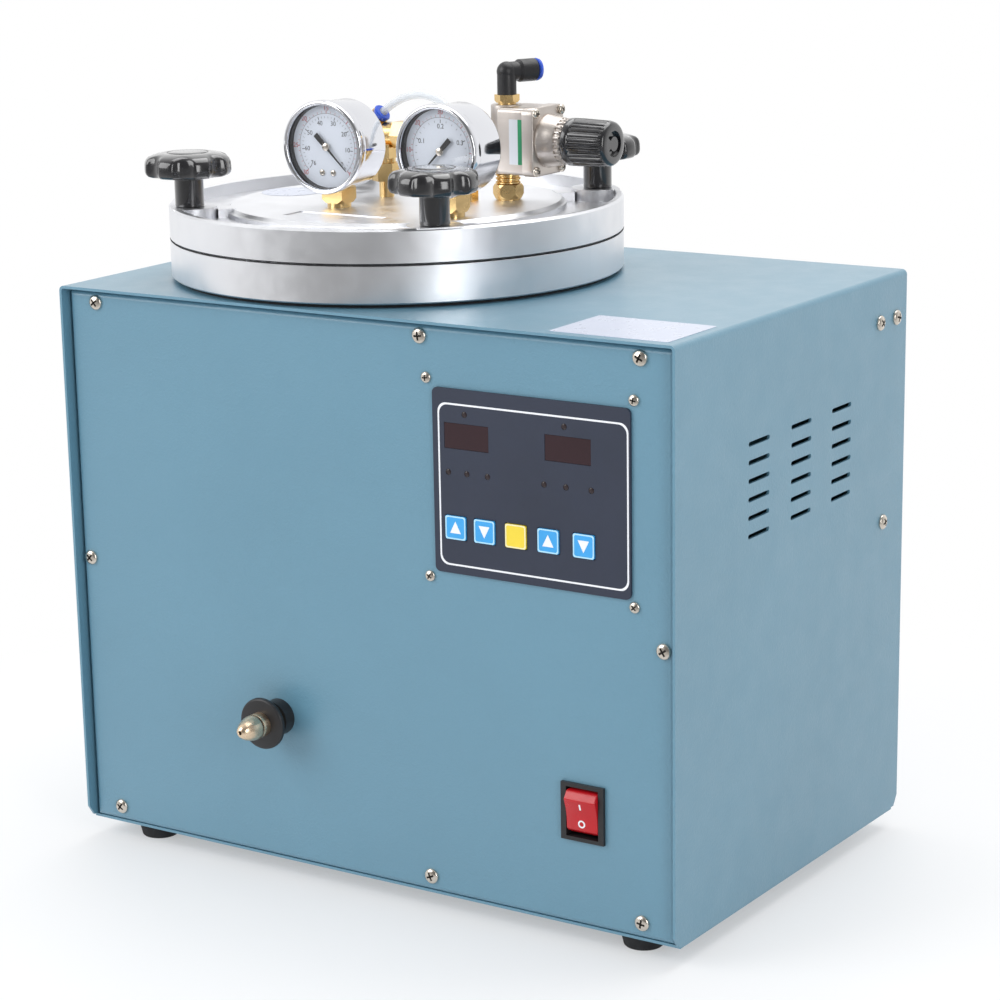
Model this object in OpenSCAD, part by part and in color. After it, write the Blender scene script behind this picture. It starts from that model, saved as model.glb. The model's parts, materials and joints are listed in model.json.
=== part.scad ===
// Jewelry wax injector: a heated wax pot with a clamped lid, hung in a sheet
// steel cabinet, with a spring nozzle in front and air fittings on the lid.
// +X is the object's right, -Y its front and +Z up; the feet stand on z = 0.

/* [Cabinet] */
// Width over the cover's side walls
cab_w = 390; // [370:1:430]
// Room between the pot's flange and the cover's lips
lip_room = 1.6; // [1:0.1:20]
// Height of the cover's side walls
cab_h = 310; // [300:1:360]
// Thickness of the sheet steel
sheet_t = 1.5; // [1.2:0.1:2]
// Outside radius of the sheet bends
bend_r = 3; // [2.5:0.5:5]
// How far the panels sit back from the cover's lips
panel_set = 5; // [4:0.5:8]
// Shadow gap between a panel and the cover
shadow_gap = 1.2; // [0.8:0.1:1.6]
// Size of the mitre at the bottom corners of the lips
lip_mitre = 6; // [4:0.5:8]
// Depth of a panel's folded edge
panel_fold = 12; // [8:1:14]
// Height of a rubber foot
foot_h = 10.5; // [8:0.5:16]
// Radius of a foot where it meets the pan
foot_r = 12.5; // [10:0.5:15]
// Distance of the feet from the side walls
foot_inset_x = 33; // [25:1:60]
// Distance of the feet from the lips
foot_inset_y = 25; // [20:1:50]

/* [Screws] */
// Thread radius of the cabinet screws
m4_r = 2; // [1.9:0.05:2.1]
// Head radius of the cabinet screws
m4_head_r = 4.2; // [3.6:0.1:4.6]
// Thread radius of the small screws
m3_r = 1.5; // [1.4:0.05:1.6]
// Head radius of the small screws
m3_head_r = 3; // [2.6:0.1:3.3]
// Distance of the upper and lower screw rows from the cover's edges
screw_row_inset = 8.5; // [8:0.5:10]
// Distance of the outer screws of a row from the cabinet's side
screw_col_inset = 22; // [18:1:30]
// Distance of the screws at mid height from the cabinet's side
screw_mid_inset = 9; // [8:0.5:10]
// Distance of the rows' middle screw from the cabinet's centre
screw_middle_x = 43; // [20:1:60]

/* [Side vents] */
// Slots in one column
vent_rows = 6; // [3:1:8]
// Columns of slots
vent_cols = 3; // [1:1:4]
// Length of a slot
vent_len = 22.5; // [12:0.5:30]
// Height of a slot
vent_high = 2.5; // [1.5:0.1:4]
// Distance between the rows
vent_pitch_z = 9.65; // [6:0.05:12]
// Distance between the columns
vent_pitch_y = 46.3; // [36:0.1:50]
// Distance of the first column from the front lip
vent_first_y = 86; // [60:1:100]
// Height of the top row above the cover's lower edge
vent_top_z = 247; // [200:1:270]

/* [Controller] */
// Width of the control fascia
fascia_w = 117; // [110:1:124]
// Height of the control fascia
fascia_h = 97; // [92:1:100]
// Thickness of the control fascia
fascia_t = 1.5; // [1:0.1:2.5]
// Distance of the fascia's right edge from the cabinet's side
fascia_side = 27.2; // [20:0.1:32]
// Height of the fascia's lower edge above the cover's lower edge
fascia_z = 179; // [150:1:190]
// Side of a square key
key_side = 12.4; // [10:0.1:14]
// How far a key stands out of the fascia
key_proud = 0.8; // [0.6:0.1:2]
// Travel of a key
key_travel = 0.5; // [0.3:0.1:0.6]
// Gap between a key and its window
key_gap = 0.3; // [0.2:0.05:0.5]

/* [Power switch] */
// Width of the switch bezel
switch_w = 25.5; // [24:0.1:28]
// Height of the switch bezel
switch_h = 31; // [30:0.1:33]
// Distance of the switch's middle from the cabinet's right side
switch_side = 56.5; // [45:0.5:75]
// Height of the switch above the cover's lower edge
switch_z = 61.8; // [45:0.1:90]
// Angle of the rocker to either side
rocker_tilt = 10; // [7:1:12]

/* [Pot and lid] */
// Distance of the pot's axis from the cabinet's left side
pot_side = 139; // [135:1:150]
// Inside radius of the pot
pot_r = 92; // [80:1:94]
// Wall of the pot
pot_wall = 6; // [4:0.5:8]
// Inside depth of the pot
pot_deep = 170; // [120:1:180]
// Thickness of the pot's floor
pot_floor = 8; // [6:0.5:12]
// Width of the flange and the lid outside the pot's bore
flange_w = 34.4; // [32:0.1:40]
// Thickness of the pot's flange
flange_t = 20.8; // [16:0.1:24]
// Thickness of the insulating ring under the flange
gasket_t = 2; // [1.5:0.5:6]
// Thickness of the lid
lid_t = 18.5; // [16:0.5:24]
// Depth of the pocket between the lid's rim and its middle
lid_pocket = 6.5; // [4:0.5:8]
// How far the lid's middle lies below its rim
lid_step = 1.8; // [0.5:0.1:3]
// Distance of the studs from the lid's edge
stud_edge = 11.1; // [10.5:0.1:13]
// Radius of a stud
stud_r = 3.9; // [3.5:0.1:4.4]
// Pitch of the studs' thread
stud_pitch = 1.25; // [1:0.05:1.5]
// Turns that undo a knob
knob_turns = 8; // [7:1:9]

/* [Star knobs] */
// Radius over a knob's lobes
knob_r = 24; // [20:0.5:26]
// Number of lobes on a knob
knob_lobes = 7; // [5:1:8]
// Height of a knob's head
knob_head_h = 13.5; // [11:0.5:16]
// Radius of a knob's hub
knob_hub_r = 8; // [7:0.5:9]
// Length of a knob's hub below its head
knob_hub_h = 16.5; // [14:0.5:20]

/* [Nozzle] */
// How far the nozzle's mouth stands out of the front panel
nozzle_out = 35.5; // [33:0.5:42]
// Height of the nozzle above the cover's lower edge
nozzle_z = 82; // [60:1:100]
// Radius of the nozzle's stem
nozzle_stem_r = 6; // [5:0.5:7]
// Radius of the disc that a mould leans on
nozzle_disc_r = 13; // [11:0.5:16]
// Travel of the nozzle when a mould is pressed on it
nozzle_travel = 5; // [3:0.5:5]

/* [Gauges] */
// Radius of a gauge over its bezel
gauge_r = 25.5; // [22:0.5:27]
// Depth of a gauge's case
gauge_deep = 28; // [24:0.5:30]
// Distance of a gauge's face ahead of its stem
gauge_ahead = 16; // [12:0.5:18]
// Height of a gauge's axis above the lid
gauge_z = 35.3; // [32:0.1:40]
// Sweep of a gauge's pointer
gauge_sweep = 270; // [180:5:280]

/* [Air fittings] */
// Radius of the regulator's knob
reg_knob_r = 13; // [11:0.5:14]
// Length of the regulator's knob
reg_knob_len = 27; // [22:0.5:32]
// Ribs on the regulator's knob
reg_ribs = 28; // [16:1:32]
// How far the regulator's knob pulls out of its lock
reg_pull = 2.5; // [1.5:0.5:3]
// Outside diameter of the clear tube
tube_d = 4.8; // [4:0.2:6]
// Bore of the clear tube
tube_bore = 3; // [2:0.1:3.5]
// Outside radius of the hose that the inlet elbow takes
hose_r = 3; // [2:0.5:3]
// Angle of the elbow's leg from straight back, towards the right
elbow_turn = 25; // [0:5:90]

/* [Hidden] */
$fn = 48;

eps = 0.01;
// clearance of a screw in its hole, and of a piece that seats in another
screw_gap = 0.1;
seat_gap = 0.1;
// radial clearance of a shaft that turns or slides
run_gap = 0.05;

// heights and places that the whole cabinet shares
pan_z = foot_h;
base_z = pan_z + sheet_t;
top_z = base_z + cab_h;
nozzle_reach = nozzle_out - panel_set;
flange_r = pot_r + flange_w;
cab_d = 2 * (flange_r + lip_room);
front_y = -(cab_d - nozzle_reach) / 2;
rear_y = front_y + cab_d;
mid_y = (front_y + rear_y) / 2;
face_y = front_y + panel_set;
rear_face_y = rear_y - panel_set;
inner_x = cab_w / 2 - sheet_t;

// panels and frames
panel_half_w = inner_x - shadow_gap;
panel_low = base_z;
panel_high = top_z - sheet_t - shadow_gap;
frame_gap = 0.3;
frame_half_w = panel_half_w - sheet_t - frame_gap;
frame_low = panel_low + sheet_t;
frame_high = panel_high - sheet_t - frame_gap;
frame_web = 17;
front_frame_deep = 30;
rear_frame_deep = 44;
nut_r = 5.5;

// screws
side_screw_back = [33, 13, 26];
side_screw_down = [24.6, 24.6, 137];
m4_head_h = 2.4;
m3_head_h = 1.9;
m4_len = 8;
m3_len = 6;
row_z = [base_z + screw_row_inset, top_z - screw_row_inset];
row_x = [-cab_w / 2 + screw_col_inset, screw_middle_x, cab_w / 2 - screw_col_inset];
mid_z = base_z + cab_h / 2;
mid_x = cab_w / 2 - screw_mid_inset;
panel_screw_at = concat([for (x = row_x, z = row_z) [x, z]], [[-mid_x, mid_z], [mid_x, mid_z]]);
side_screw_at = [for (i = [0 : 2]) [rear_y - side_screw_back[i], top_z - side_screw_down[i]]];

// pot and lid
pot_x = pot_side - cab_w / 2;
pot_y = mid_y;
pot_out_r = pot_r + pot_wall;
flange_low = top_z + gasket_t;
flange_top = flange_low + flange_t;
lid_top = flange_top + lid_t;
lid_mid = lid_top - lid_step;
lid_disc_r = pot_r + 1.5;
stud_circle_r = flange_r - stud_edge;
pot_in_z = flange_top - pot_deep;
pot_low = pot_in_z - pot_floor;
pot_hole_r = pot_out_r + 2;
gasket_r = flange_r - 4;
seal_r = pot_r + 9;
seal_sec_r = 1.5;
heater_h = 45;
heater_t = 3;
heater_low = pot_low + 12;
stud_hole_r = stud_r + 0.6;
boss_r = 15;
rim_w = 4;
// small bevel of the turned rims
edge = 0.8;
stud_low = flange_low + 4.2;
stud_angles = [135, -135, -45, 45];

// knobs
washer_t = 1.2;
washer_r = knob_hub_r - 1.2;
hub_low = lid_top + seat_gap;
stud_grip = knob_turns * stud_pitch;
knob_bore_deep = stud_grip + 2;

// nozzle
nozzle_x = pot_x;
nozzle_axis_z = base_z + nozzle_z;
disc_t = 3;
disc_clear = 1.5;
tip_hex_h = 6;
bush_len = 7.5;
disc_y = face_y - bush_len - nozzle_travel - disc_clear - disc_t;
bush_r = 10;
block_y = face_y + sheet_t;
block_side = 34;
block_len = 60;
outlet_inset = 20;
outlet_y = pot_y - pot_r + outlet_inset;
collar_r = 9;
collar_t = 3;
collar_y = block_y + 12.5;
collar_gap = 0.5;
stem_rear_y = block_y + 38;
spring_seat_y = stem_rear_y + 2;
block_end = 8;
neck_r = 4;
outlet_r = 4;
spring_r = 7.5;
spring_wire = 0.8;
spring_turns = 6;

// controller
fascia_x = cab_w / 2 - fascia_side - fascia_w;
fascia_low = base_z + fascia_z;
window_size = [27, 13.5];
window_at = [[20.5, 72.6], [81, 72.6]];
window_gap = 0.15;
lamp_r = 1.5;
lamp_at = [[19.6, 84.2], [79, 84.2], [9.2, 53.4], [20.5, 53.4], [33.1, 53.4], [66.9, 53.4],
           [79.8, 53.4], [94.6, 53.4]];
key_row = 24.5;
key_cols = [13.4, 31, 49.9, 69.3, 90.2];
board_y = face_y + sheet_t + 14;
board_t = 1.6;
board_margin = 5;
board_screw_x = [fascia_x - 4.2, fascia_x + fascia_w + 1.6];
board_screw_z = [fascia_low - 3.7, fascia_low + fascia_h + 4.2];
key_flange = 0.8;

// mains inlet
inlet_side = 75;
inlet_x = cab_w / 2 - inlet_side;
inlet_z = base_z + 40;
inlet_body = [27, 20];
inlet_flange = [50, 28];
inlet_screw_x = 20;
inlet_deep = 24;
inlet_flange_t = 2.5;
socket = [24.4, 17];
socket_deep = 16;

// bought units inside, from the cabinet's right side
pump_side = 77;
pump_behind = 32.5;
pump_axis_z = base_z + 52;
pump_head = [58, 34, 72];
motor_r = 26;
motor_len = 62;
supply_side = 175;
supply_core = [64, 54, 22];
supply_coil = [44, 70, 34];
valve_side = 129;
valve_side_y = 34;
valve_base = [28, 60, 18];
valve_coil = [24, 24, 28];
valve_seat = [22, 22, 14];

// switch
switch_x = cab_w / 2 - switch_side;
switch_mid_z = base_z + switch_z;
bezel_t = 2;
rocker_w = 18.6;
rocker_half_h = 12;
rocker_pivot_y = face_y + 1.5;
pivot_r = 2;

// gauges: x, y of the stem from the pot's axis; the right one keeps its place by the front right knob
stud_x = stud_circle_r * cos(45);
gauge_at = [[-13, -36], [stud_x - 16, 40.5 - stud_x]];
gauge_lift = [-1.4, 0.3];
gauge_turn = [2, 0];
gauge_bezel_t = 6;
socket_side = 13.5;
socket_low = 2.5;
dial_back = 6;
lens_back = 1.2;
// a vacuum reads to the left of its zero, a pressure to the right
pointer_start = [gauge_sweep / 2, -gauge_sweep / 2];

// fittings, from the pot's axis and the lid's top
vent_at = [-13.4, 10];
vent_axis_z = 35;
vent_hex = [7, 10];
vent_cube = [14, 8];
vent_neck_r = 5.5;
tee_r = 6.5;
tee_arm = 15;
tee_hex = [7.2, 8];
stub_tilt = 49;
stub_len = 9;
inlet_at = [38, 14];
inlet_h = 22;
collar_out_r = 4.6;
collar_h = 3;
reg_at = [56.3, 28];
reg_low = 15;
reg_h = 37.5;
reg_block = [26.5, 32];
reg_col_r = 9;
reg_screw_at = [for (y = [-1, 1], z = [-1, 1]) [y * (reg_block[1] / 2 - 3), z * (reg_h / 2 - 3)]];
bonnet_len = 14.5;
bonnet_r = 14;
spindle_r = 4;
nipple_r = 5.5;
elbow_low = reg_low + reg_h + 5.3;
elbow_leg_r = 5.3;
elbow_arm_r = 6.2;
elbow_z = elbow_low + 12.3;
elbow_arm = 17.5;
collet_r = 4.4;
collet_travel = 1;

// ---------- shared shapes ----------

module along_y(p) {
    translate(p) rotate([-90, 0, 0]) children();
}

module along_x(p) {
    translate(p) rotate([0, 90, 0]) children();
}

// draws an outline of x and z, and extrudes it towards +Y
module extrude_y(len) {
    mirror([0, 1, 0]) rotate([90, 0, 0]) linear_extrude(len) children();
}

// draws an outline of y and z, and extrudes it from x0 to x1
module extrude_x(x0, x1) {
    translate([x0, 0, 0]) rotate([90, 0, 90]) linear_extrude(x1 - x0) children();
}

// a rounded rectangle from one corner to the other
module round_rect(low, high, r) {
    difference() {
        translate(low) square(high - low);
        for (i = [0, 1], j = [0, 1]) {
            corner = [i == 0 ? low[0] : high[0], j == 0 ? low[1] : high[1]];
            inward = [i == 0 ? r : -r, j == 0 ? r : -r];
            difference() {
                translate([min(corner[0], corner[0] + inward[0]), min(corner[1], corner[1] + inward[1])])
                    square(r);
                translate(corner + inward) circle(r);
            }
        }
    }
}

// a pan head screw with a cross recess; its shank runs up from z = 0
module pan_screw(shank_r, shank_len, head_r, head_h) {
    difference() {
        rotate_extrude() polygon([
            [0, shank_len], [shank_r, shank_len], [shank_r, 0], [head_r, 0], [head_r, -head_h * 0.35],
            [head_r * 0.8, -head_h * 0.8], [head_r * 0.5, -head_h], [0, -head_h]]);
        for (a = [0, 90])
            rotate(a) translate([-head_r * 0.5, -head_r * 0.1, -head_h - eps])
                cube([head_r, head_r * 0.2, head_h * 0.6]);
    }
}

// places its children at every screw of a panel, with +Z into the cabinet
module at_panel_screws(y, inward) {
    for (p = panel_screw_at)
        translate([p[0], y, p[1]]) rotate([-90 * inward, 0, 0]) children();
}

// places its children at the cover's side screws, with +Z into the cabinet
module at_side_screws() {
    for (side = [-1, 1], p = side_screw_at)
        translate([side * cab_w / 2, p[0], p[1]]) rotate([0, -90 * side, 0]) children();
}

module at_board_screws() {
    for (x = board_screw_x, z = board_screw_z) along_y([x, face_y, z]) children();
}

module at_inlet_screws() {
    for (i = [-1, 1])
        translate([inlet_x + i * inlet_screw_x, rear_face_y + inlet_flange_t, inlet_z])
            rotate([90, 0, 0]) children();
}

module at_feet() {
    for (i = [-1, 1], y = [front_y + foot_inset_y, rear_y - foot_inset_y])
        translate([i * (cab_w / 2 - foot_inset_x), y, pan_z]) children();
}

module at_studs() {
    for (a = stud_angles) at_stud(a) children();
}

module at_stud(angle) {
    translate([pot_x, pot_y, 0]) rotate(angle) translate([stud_circle_r, 0, 0]) children();
}

// ---------- cabinet ----------

module base_pan() {
    flange_h = 15;
    side_x = inner_x - frame_gap;
    color("cadetblue") difference() {
        union() {
            translate([-cab_w / 2 + 0.5, front_y + lip_mitre, pan_z])
                cube([cab_w - 1, cab_d - 2 * lip_mitre, sheet_t]);
            for (i = [0, 1])
                mirror([i, 0, 0]) translate([side_x - sheet_t, face_y + panel_fold + 8, pan_z])
                    cube([sheet_t, rear_face_y - face_y - 2 * panel_fold - 16, sheet_t + flange_h]);
        }
        at_feet() translate([0, 0, -eps]) cylinder(r = m4_r + screw_gap, h = sheet_t + 2 * eps);
    }
}

module feet() {
    color("black") at_feet() rotate_extrude() polygon([
        [m4_r + screw_gap, 0], [foot_r, 0], [foot_r, -1.5], [foot_r - 2, -foot_h + 0.6],
        [foot_r - 2.6, -foot_h], [6, -foot_h], [6, -foot_h + 4], [m4_r + screw_gap, -foot_h + 4]]);
}

// an angle-section frame: a web behind the panel, and a flange running inwards
module angle_frame(deep) {
    web_low = [-frame_half_w, frame_low];
    web_high = [frame_half_w, frame_high];
    web = [frame_web, frame_web];
    t = [sheet_t, sheet_t];
    difference() {
        extrude_y(deep) round_rect(web_low, web_high, bend_r);
        translate([0, -eps, 0]) extrude_y(deep) round_rect(web_low + web, web_high - web, bend_r);
        translate([0, sheet_t, 0]) extrude_y(deep) round_rect(web_low + t, web_high - t, bend_r - sheet_t);
    }
}

// room in both frames for the pot, and for the screws of the feet
module frame_cuts() {
    translate([pot_x, pot_y, frame_high - frame_web]) cylinder(r = pot_hole_r, h = 2 * frame_web);
    at_feet() cylinder(r = m4_r + run_gap, h = 2 * foot_r);
}

module front_frame() {
    color("lightslategray") difference() {
        translate([0, face_y + sheet_t, 0]) angle_frame(front_frame_deep);
        frame_cuts();
        at_panel_screws(face_y, 1) cylinder(r = m4_r + run_gap, h = m4_len);
    }
}

module rear_frame() {
    nut_len = inner_x - frame_half_w;
    color("lightslategray") difference() {
        union() {
            translate([0, rear_face_y - sheet_t, 0]) mirror([0, 1, 0]) angle_frame(rear_frame_deep);
            at_side_screws() translate([0, 0, sheet_t]) cylinder(r = nut_r, h = nut_len);
        }
        frame_cuts();
        at_panel_screws(rear_face_y, -1) cylinder(r = m4_r + run_gap, h = m4_len);
        at_side_screws() cylinder(r = m4_r + run_gap, h = m4_len);
    }
}

// a panel with its four edges folded back; its face is at y = 0 and it runs inwards
module folded_panel() {
    low = [-panel_half_w, panel_low];
    high = [panel_half_w, panel_high];
    t = [sheet_t, sheet_t];
    past_fold = panel_fold + bend_r;
    difference() {
        intersection() {
            extrude_y(panel_fold) round_rect(low, high, bend_r);
            extrude_x(-panel_half_w, panel_half_w)
                round_rect([0, panel_low], [past_fold, panel_high], bend_r);
            translate([0, 0, panel_low]) linear_extrude(panel_high - panel_low)
                round_rect([-panel_half_w, 0], [panel_half_w, past_fold], bend_r);
        }
        translate([0, sheet_t, 0]) extrude_y(panel_fold) round_rect(low + t, high - t, bend_r - sheet_t);
    }
}

module front_panel() {
    key_low = 14;
    color("cadetblue") difference() {
        translate([0, face_y, 0]) folded_panel();
        at_panel_screws(face_y - eps, 1) cylinder(r = m4_r + screw_gap, h = m4_len);
        at_board_screws() translate([0, 0, -eps]) cylinder(r = m3_r + screw_gap, h = m4_len);
        // behind the fascia, one opening for the displays and keys
        translate([fascia_x + 4, face_y - eps, fascia_low + key_low])
            cube([fascia_w - 8, 2 * sheet_t, fascia_h - key_low - 6]);
        translate([switch_x - switch_w / 2 + 1.8, face_y - eps, switch_mid_z - switch_h / 2 + 1.3])
            cube([switch_w - 3.6, 2 * sheet_t, switch_h - 2.6]);
        along_y([nozzle_x, face_y - eps, nozzle_axis_z]) cylinder(r = bush_r - 2 + seat_gap, h = 2 * sheet_t);
    }
}

module rear_panel() {
    color("cadetblue") difference() {
        translate([0, rear_face_y, 0]) mirror([0, 1, 0]) folded_panel();
        at_panel_screws(rear_face_y + eps, -1) cylinder(r = m4_r + screw_gap, h = m4_len);
        // room in the fold for the frame's nuts
        at_side_screws() cylinder(r = nut_r + frame_gap, h = inner_x - frame_half_w + 2 * sheet_t);
        translate([inlet_x - inlet_body[0] / 2 - seat_gap, rear_face_y - 2 * sheet_t,
                   inlet_z - inlet_body[1] / 2 - seat_gap])
            cube([inlet_body[0] + 2 * seat_gap, 3 * sheet_t, inlet_body[1] + 2 * seat_gap]);
        at_inlet_screws() translate([0, 0, -sheet_t]) cylinder(r = m3_r + screw_gap, h = 4 * sheet_t);
    }
}

module vent_slots() {
    for (c = [0 : vent_cols - 1], r = [0 : vent_rows - 1]) {
        y = front_y + vent_first_y + c * vent_pitch_y;
        z = base_z + vent_top_z - r * vent_pitch_z;
        half = (vent_len - vent_high) / 2;
        extrude_x(-cab_w / 2 - 1, cab_w / 2 + 1) {
            translate([y, z]) square([2 * half, vent_high], center = true);
            for (i = [-1, 1]) translate([y + i * half, z]) circle(d = vent_high);
        }
    }
}

module cover() {
    low = [-cab_w / 2, base_z - 2 * bend_r];
    high = [cab_w / 2, top_z];
    t = [sheet_t, sheet_t];
    color("lightblue") difference() {
        translate([0, front_y, 0]) extrude_y(cab_d) round_rect(low, high, bend_r);
        translate([0, front_y - 1, 0]) extrude_y(cab_d + 2) round_rect(low + t, high - t, bend_r - sheet_t);
        translate([-cab_w, front_y - 1, base_z - 3 * bend_r]) cube([2 * cab_w, cab_d + 2, 3 * bend_r]);
        // the lips are mitred where they meet the pan
        for (y = [front_y, rear_y])
            extrude_x(-cab_w, cab_w) polygon([
                [y - lip_mitre, base_z - lip_mitre / 2], [y, base_z + lip_mitre],
                [y + lip_mitre, base_z - lip_mitre / 2]]);
        translate([pot_x, pot_y, top_z - 2 * sheet_t]) cylinder(r = pot_hole_r, h = 3 * sheet_t);
        vent_slots();
        at_side_screws() translate([0, 0, -eps]) cylinder(r = m4_r + screw_gap, h = 2 * sheet_t);
    }
}

module pan_head_screws() {
    color("silver") {
        at_panel_screws(face_y, 1) pan_screw(m4_r, m4_len, m4_head_r, m4_head_h);
        at_panel_screws(rear_face_y, -1) pan_screw(m4_r, m4_len, m4_head_r, m4_head_h);
        at_side_screws() pan_screw(m4_r, m4_len, m4_head_r, m4_head_h);
        at_board_screws() pan_screw(m3_r, m3_len, m3_head_r, m3_head_h);
        at_feet() translate([0, 0, -foot_h + 4])
            pan_screw(m4_r, foot_h - 4 + sheet_t + 2, m4_head_r, m4_head_h);
        at_inlet_screws() pan_screw(m3_r, m3_len, m3_head_r, m3_head_h);
    }
}

// ---------- controller ----------

module at_fascia(p) {
    translate([fascia_x + p[0], face_y - fascia_t, fascia_low + p[1]]) children();
}

module at_key(i) {
    at_fascia([key_cols[i], key_row]) children();
}

module control_fascia() {
    hole = key_side + 2 * key_gap;
    color("darkslategray") difference() {
        at_fascia([0, 0]) extrude_y(fascia_t) round_rect([0, 0], [fascia_w, fascia_h], 3);
        for (p = window_at)
            at_fascia(p) translate([-window_size[0] / 2, -eps, -window_size[1] / 2])
                cube([window_size[0], fascia_t + 2 * eps, window_size[1]]);
        for (p = lamp_at)
            at_fascia(p) along_y([0, -eps, 0]) cylinder(r = lamp_r + window_gap, h = fascia_t + 2 * eps);
        for (i = [0 : 4])
            at_key(i) translate([-hole / 2, -eps, -hole / 2]) cube([hole, fascia_t + 2 * eps, hole]);
    }
}

module display_windows() {
    w = window_size[0] - 2 * window_gap;
    h = window_size[1] - 2 * window_gap;
    color("black") for (p = window_at)
        at_fascia(p) {
            translate([-w / 2, 0.2, -h / 2]) cube([w, fascia_t, h]);
            translate([-w / 2 - 1, fascia_t + eps, -h / 2 - 1]) cube([w + 2, 1, h + 2]);
        }
}

module indicator_lamps() {
    color("red") for (p = lamp_at) at_fascia(p) {
        lamp_len = board_y - face_y + fascia_t;
        along_y([0, 0, 0]) cylinder(r = lamp_r, h = lamp_len);
        along_y([0, -lamp_r * 0.3, 0]) cylinder(r1 = lamp_r * 0.6, r2 = lamp_r, h = lamp_r * 0.3);
    }
}

module control_board() {
    low = [board_screw_x[0] - board_margin, board_screw_z[0] - board_margin];
    high = [board_screw_x[1] + board_margin, board_screw_z[1] + board_margin];
    spacer_from = face_y + sheet_t;
    color("darkgreen") {
        difference() {
            translate([0, board_y, 0]) extrude_y(board_t) round_rect(low, high, 2);
            at_board_screws() cylinder(r = m3_r + screw_gap, h = 40);
        }
        difference() {
            for (x = board_screw_x, z = board_screw_z)
                along_y([x, spacer_from, z]) cylinder(r = m3_head_r, h = board_y - spacer_from);
            at_board_screws() cylinder(r = m3_r + run_gap, h = m3_len + 1);
        }
        // a push switch on the board behind each key, and a display behind each window
        for (i = [0 : 4])
            at_key(i) {
                plunger = key_back() + key_travel + 0.1;
                translate([-3, plunger + 2, -3]) cube([6, board_y - face_y + fascia_t - plunger - 2, 6]);
                along_y([0, plunger, 0]) cylinder(r = 1.7, h = 2 + eps);
            }
        for (p = window_at)
            at_fascia(p) translate([-14, fascia_t + 1.2, -8]) cube([28, board_y - face_y - 1.2, 16]);
    }
}

// how far a key reaches behind the fascia's face
function key_back() = fascia_t + key_flange + 6;

module key(i, c) {
    color(c) at_key(i) {
        rotate([-90, 0, 0]) translate([0, 0, -key_proud]) linear_extrude(key_proud + fascia_t + eps)
            round_rect([-key_side / 2, -key_side / 2], [key_side / 2, key_side / 2], 1);
        translate([-key_side / 2 - 0.7, fascia_t + 0.05, -key_side / 2 - 0.7])
            cube([key_side + 1.4, key_flange, key_side + 1.4]);
        along_y([0, fascia_t, 0]) cylinder(r = 2, h = key_back() - fascia_t);
    }
}

module key_up_left() { key(0, "lightblue"); }
module key_down_left() { key(1, "lightblue"); }
module key_start() { key(2, "gold"); }
module key_up_right() { key(3, "lightblue"); }
module key_down_right() { key(4, "lightblue"); }

// ---------- power switch ----------

module switch_housing() {
    body_w = switch_w - 4;
    body_h = switch_h - 3;
    color("black") difference() {
        union() {
            translate([switch_x - switch_w / 2, face_y - bezel_t, switch_mid_z - switch_h / 2])
                cube([switch_w, bezel_t, switch_h]);
            translate([switch_x - body_w / 2, face_y - eps, switch_mid_z - body_h / 2])
                cube([body_w, 22, body_h]);
        }
        translate([switch_x - rocker_w / 2 - 0.3, face_y - bezel_t - eps,
                   switch_mid_z - rocker_half_h - 1.4])
            cube([rocker_w + 0.6, 13, 2 * rocker_half_h + 2.8]);
        // the seat of the rocker's pins
        along_x([switch_x - body_w / 2 + 0.8, rocker_pivot_y, switch_mid_z])
            cylinder(r = pivot_r + run_gap, h = body_w - 1.6);
    }
}

module switch_rocker() {
    body_w = switch_w - 4;
    rock = rocker_tilt;
    color("red") translate([switch_x, rocker_pivot_y, switch_mid_z]) rotate([rock, 0, 0]) {
        extrude_x(-rocker_w / 2, rocker_w / 2) polygon([
            [-6.5, rocker_half_h], [-4.6, rocker_half_h * 0.5], [-4, 0], [-4.6, -rocker_half_h * 0.5],
            [-6.5, -rocker_half_h], [2, -rocker_half_h], [5, -5], [5, 5], [2, rocker_half_h]]);
        along_x([-body_w / 2 + 1, 0, 0]) cylinder(r = pivot_r, h = body_w - 2);
    }
}

// ---------- nozzle ----------

module nozzle_block() {
    color("darkgoldenrod") difference() {
        translate([nozzle_x - block_side / 2, block_y, nozzle_axis_z - block_side / 2])
            cube([block_side, block_len, block_side]);
        // guide of the stem, and a wider chamber for its collar and spring
        along_y([nozzle_x, block_y - eps, nozzle_axis_z])
            cylinder(r = nozzle_stem_r + run_gap, h = block_len - block_end);
        along_y([nozzle_x, collar_y - collar_gap, nozzle_axis_z])
            cylinder(r = collar_r + 0.3, h = spring_seat_y - collar_y + collar_gap);
        // inlet from the pot
        translate([nozzle_x, outlet_y, nozzle_axis_z]) cylinder(r = outlet_r, h = block_side / 2 + eps);
    }
}

module nozzle_bush() {
    color("black") difference() {
        union() {
            along_y([nozzle_x, face_y - bush_len, nozzle_axis_z]) cylinder(r = bush_r, h = bush_len);
            along_y([nozzle_x, face_y - eps, nozzle_axis_z]) cylinder(r = bush_r - 2, h = sheet_t);
        }
        along_y([nozzle_x, face_y - bush_len - eps, nozzle_axis_z])
            cylinder(r = nozzle_stem_r + run_gap, h = bush_len + 2 * sheet_t);
    }
}

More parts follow.
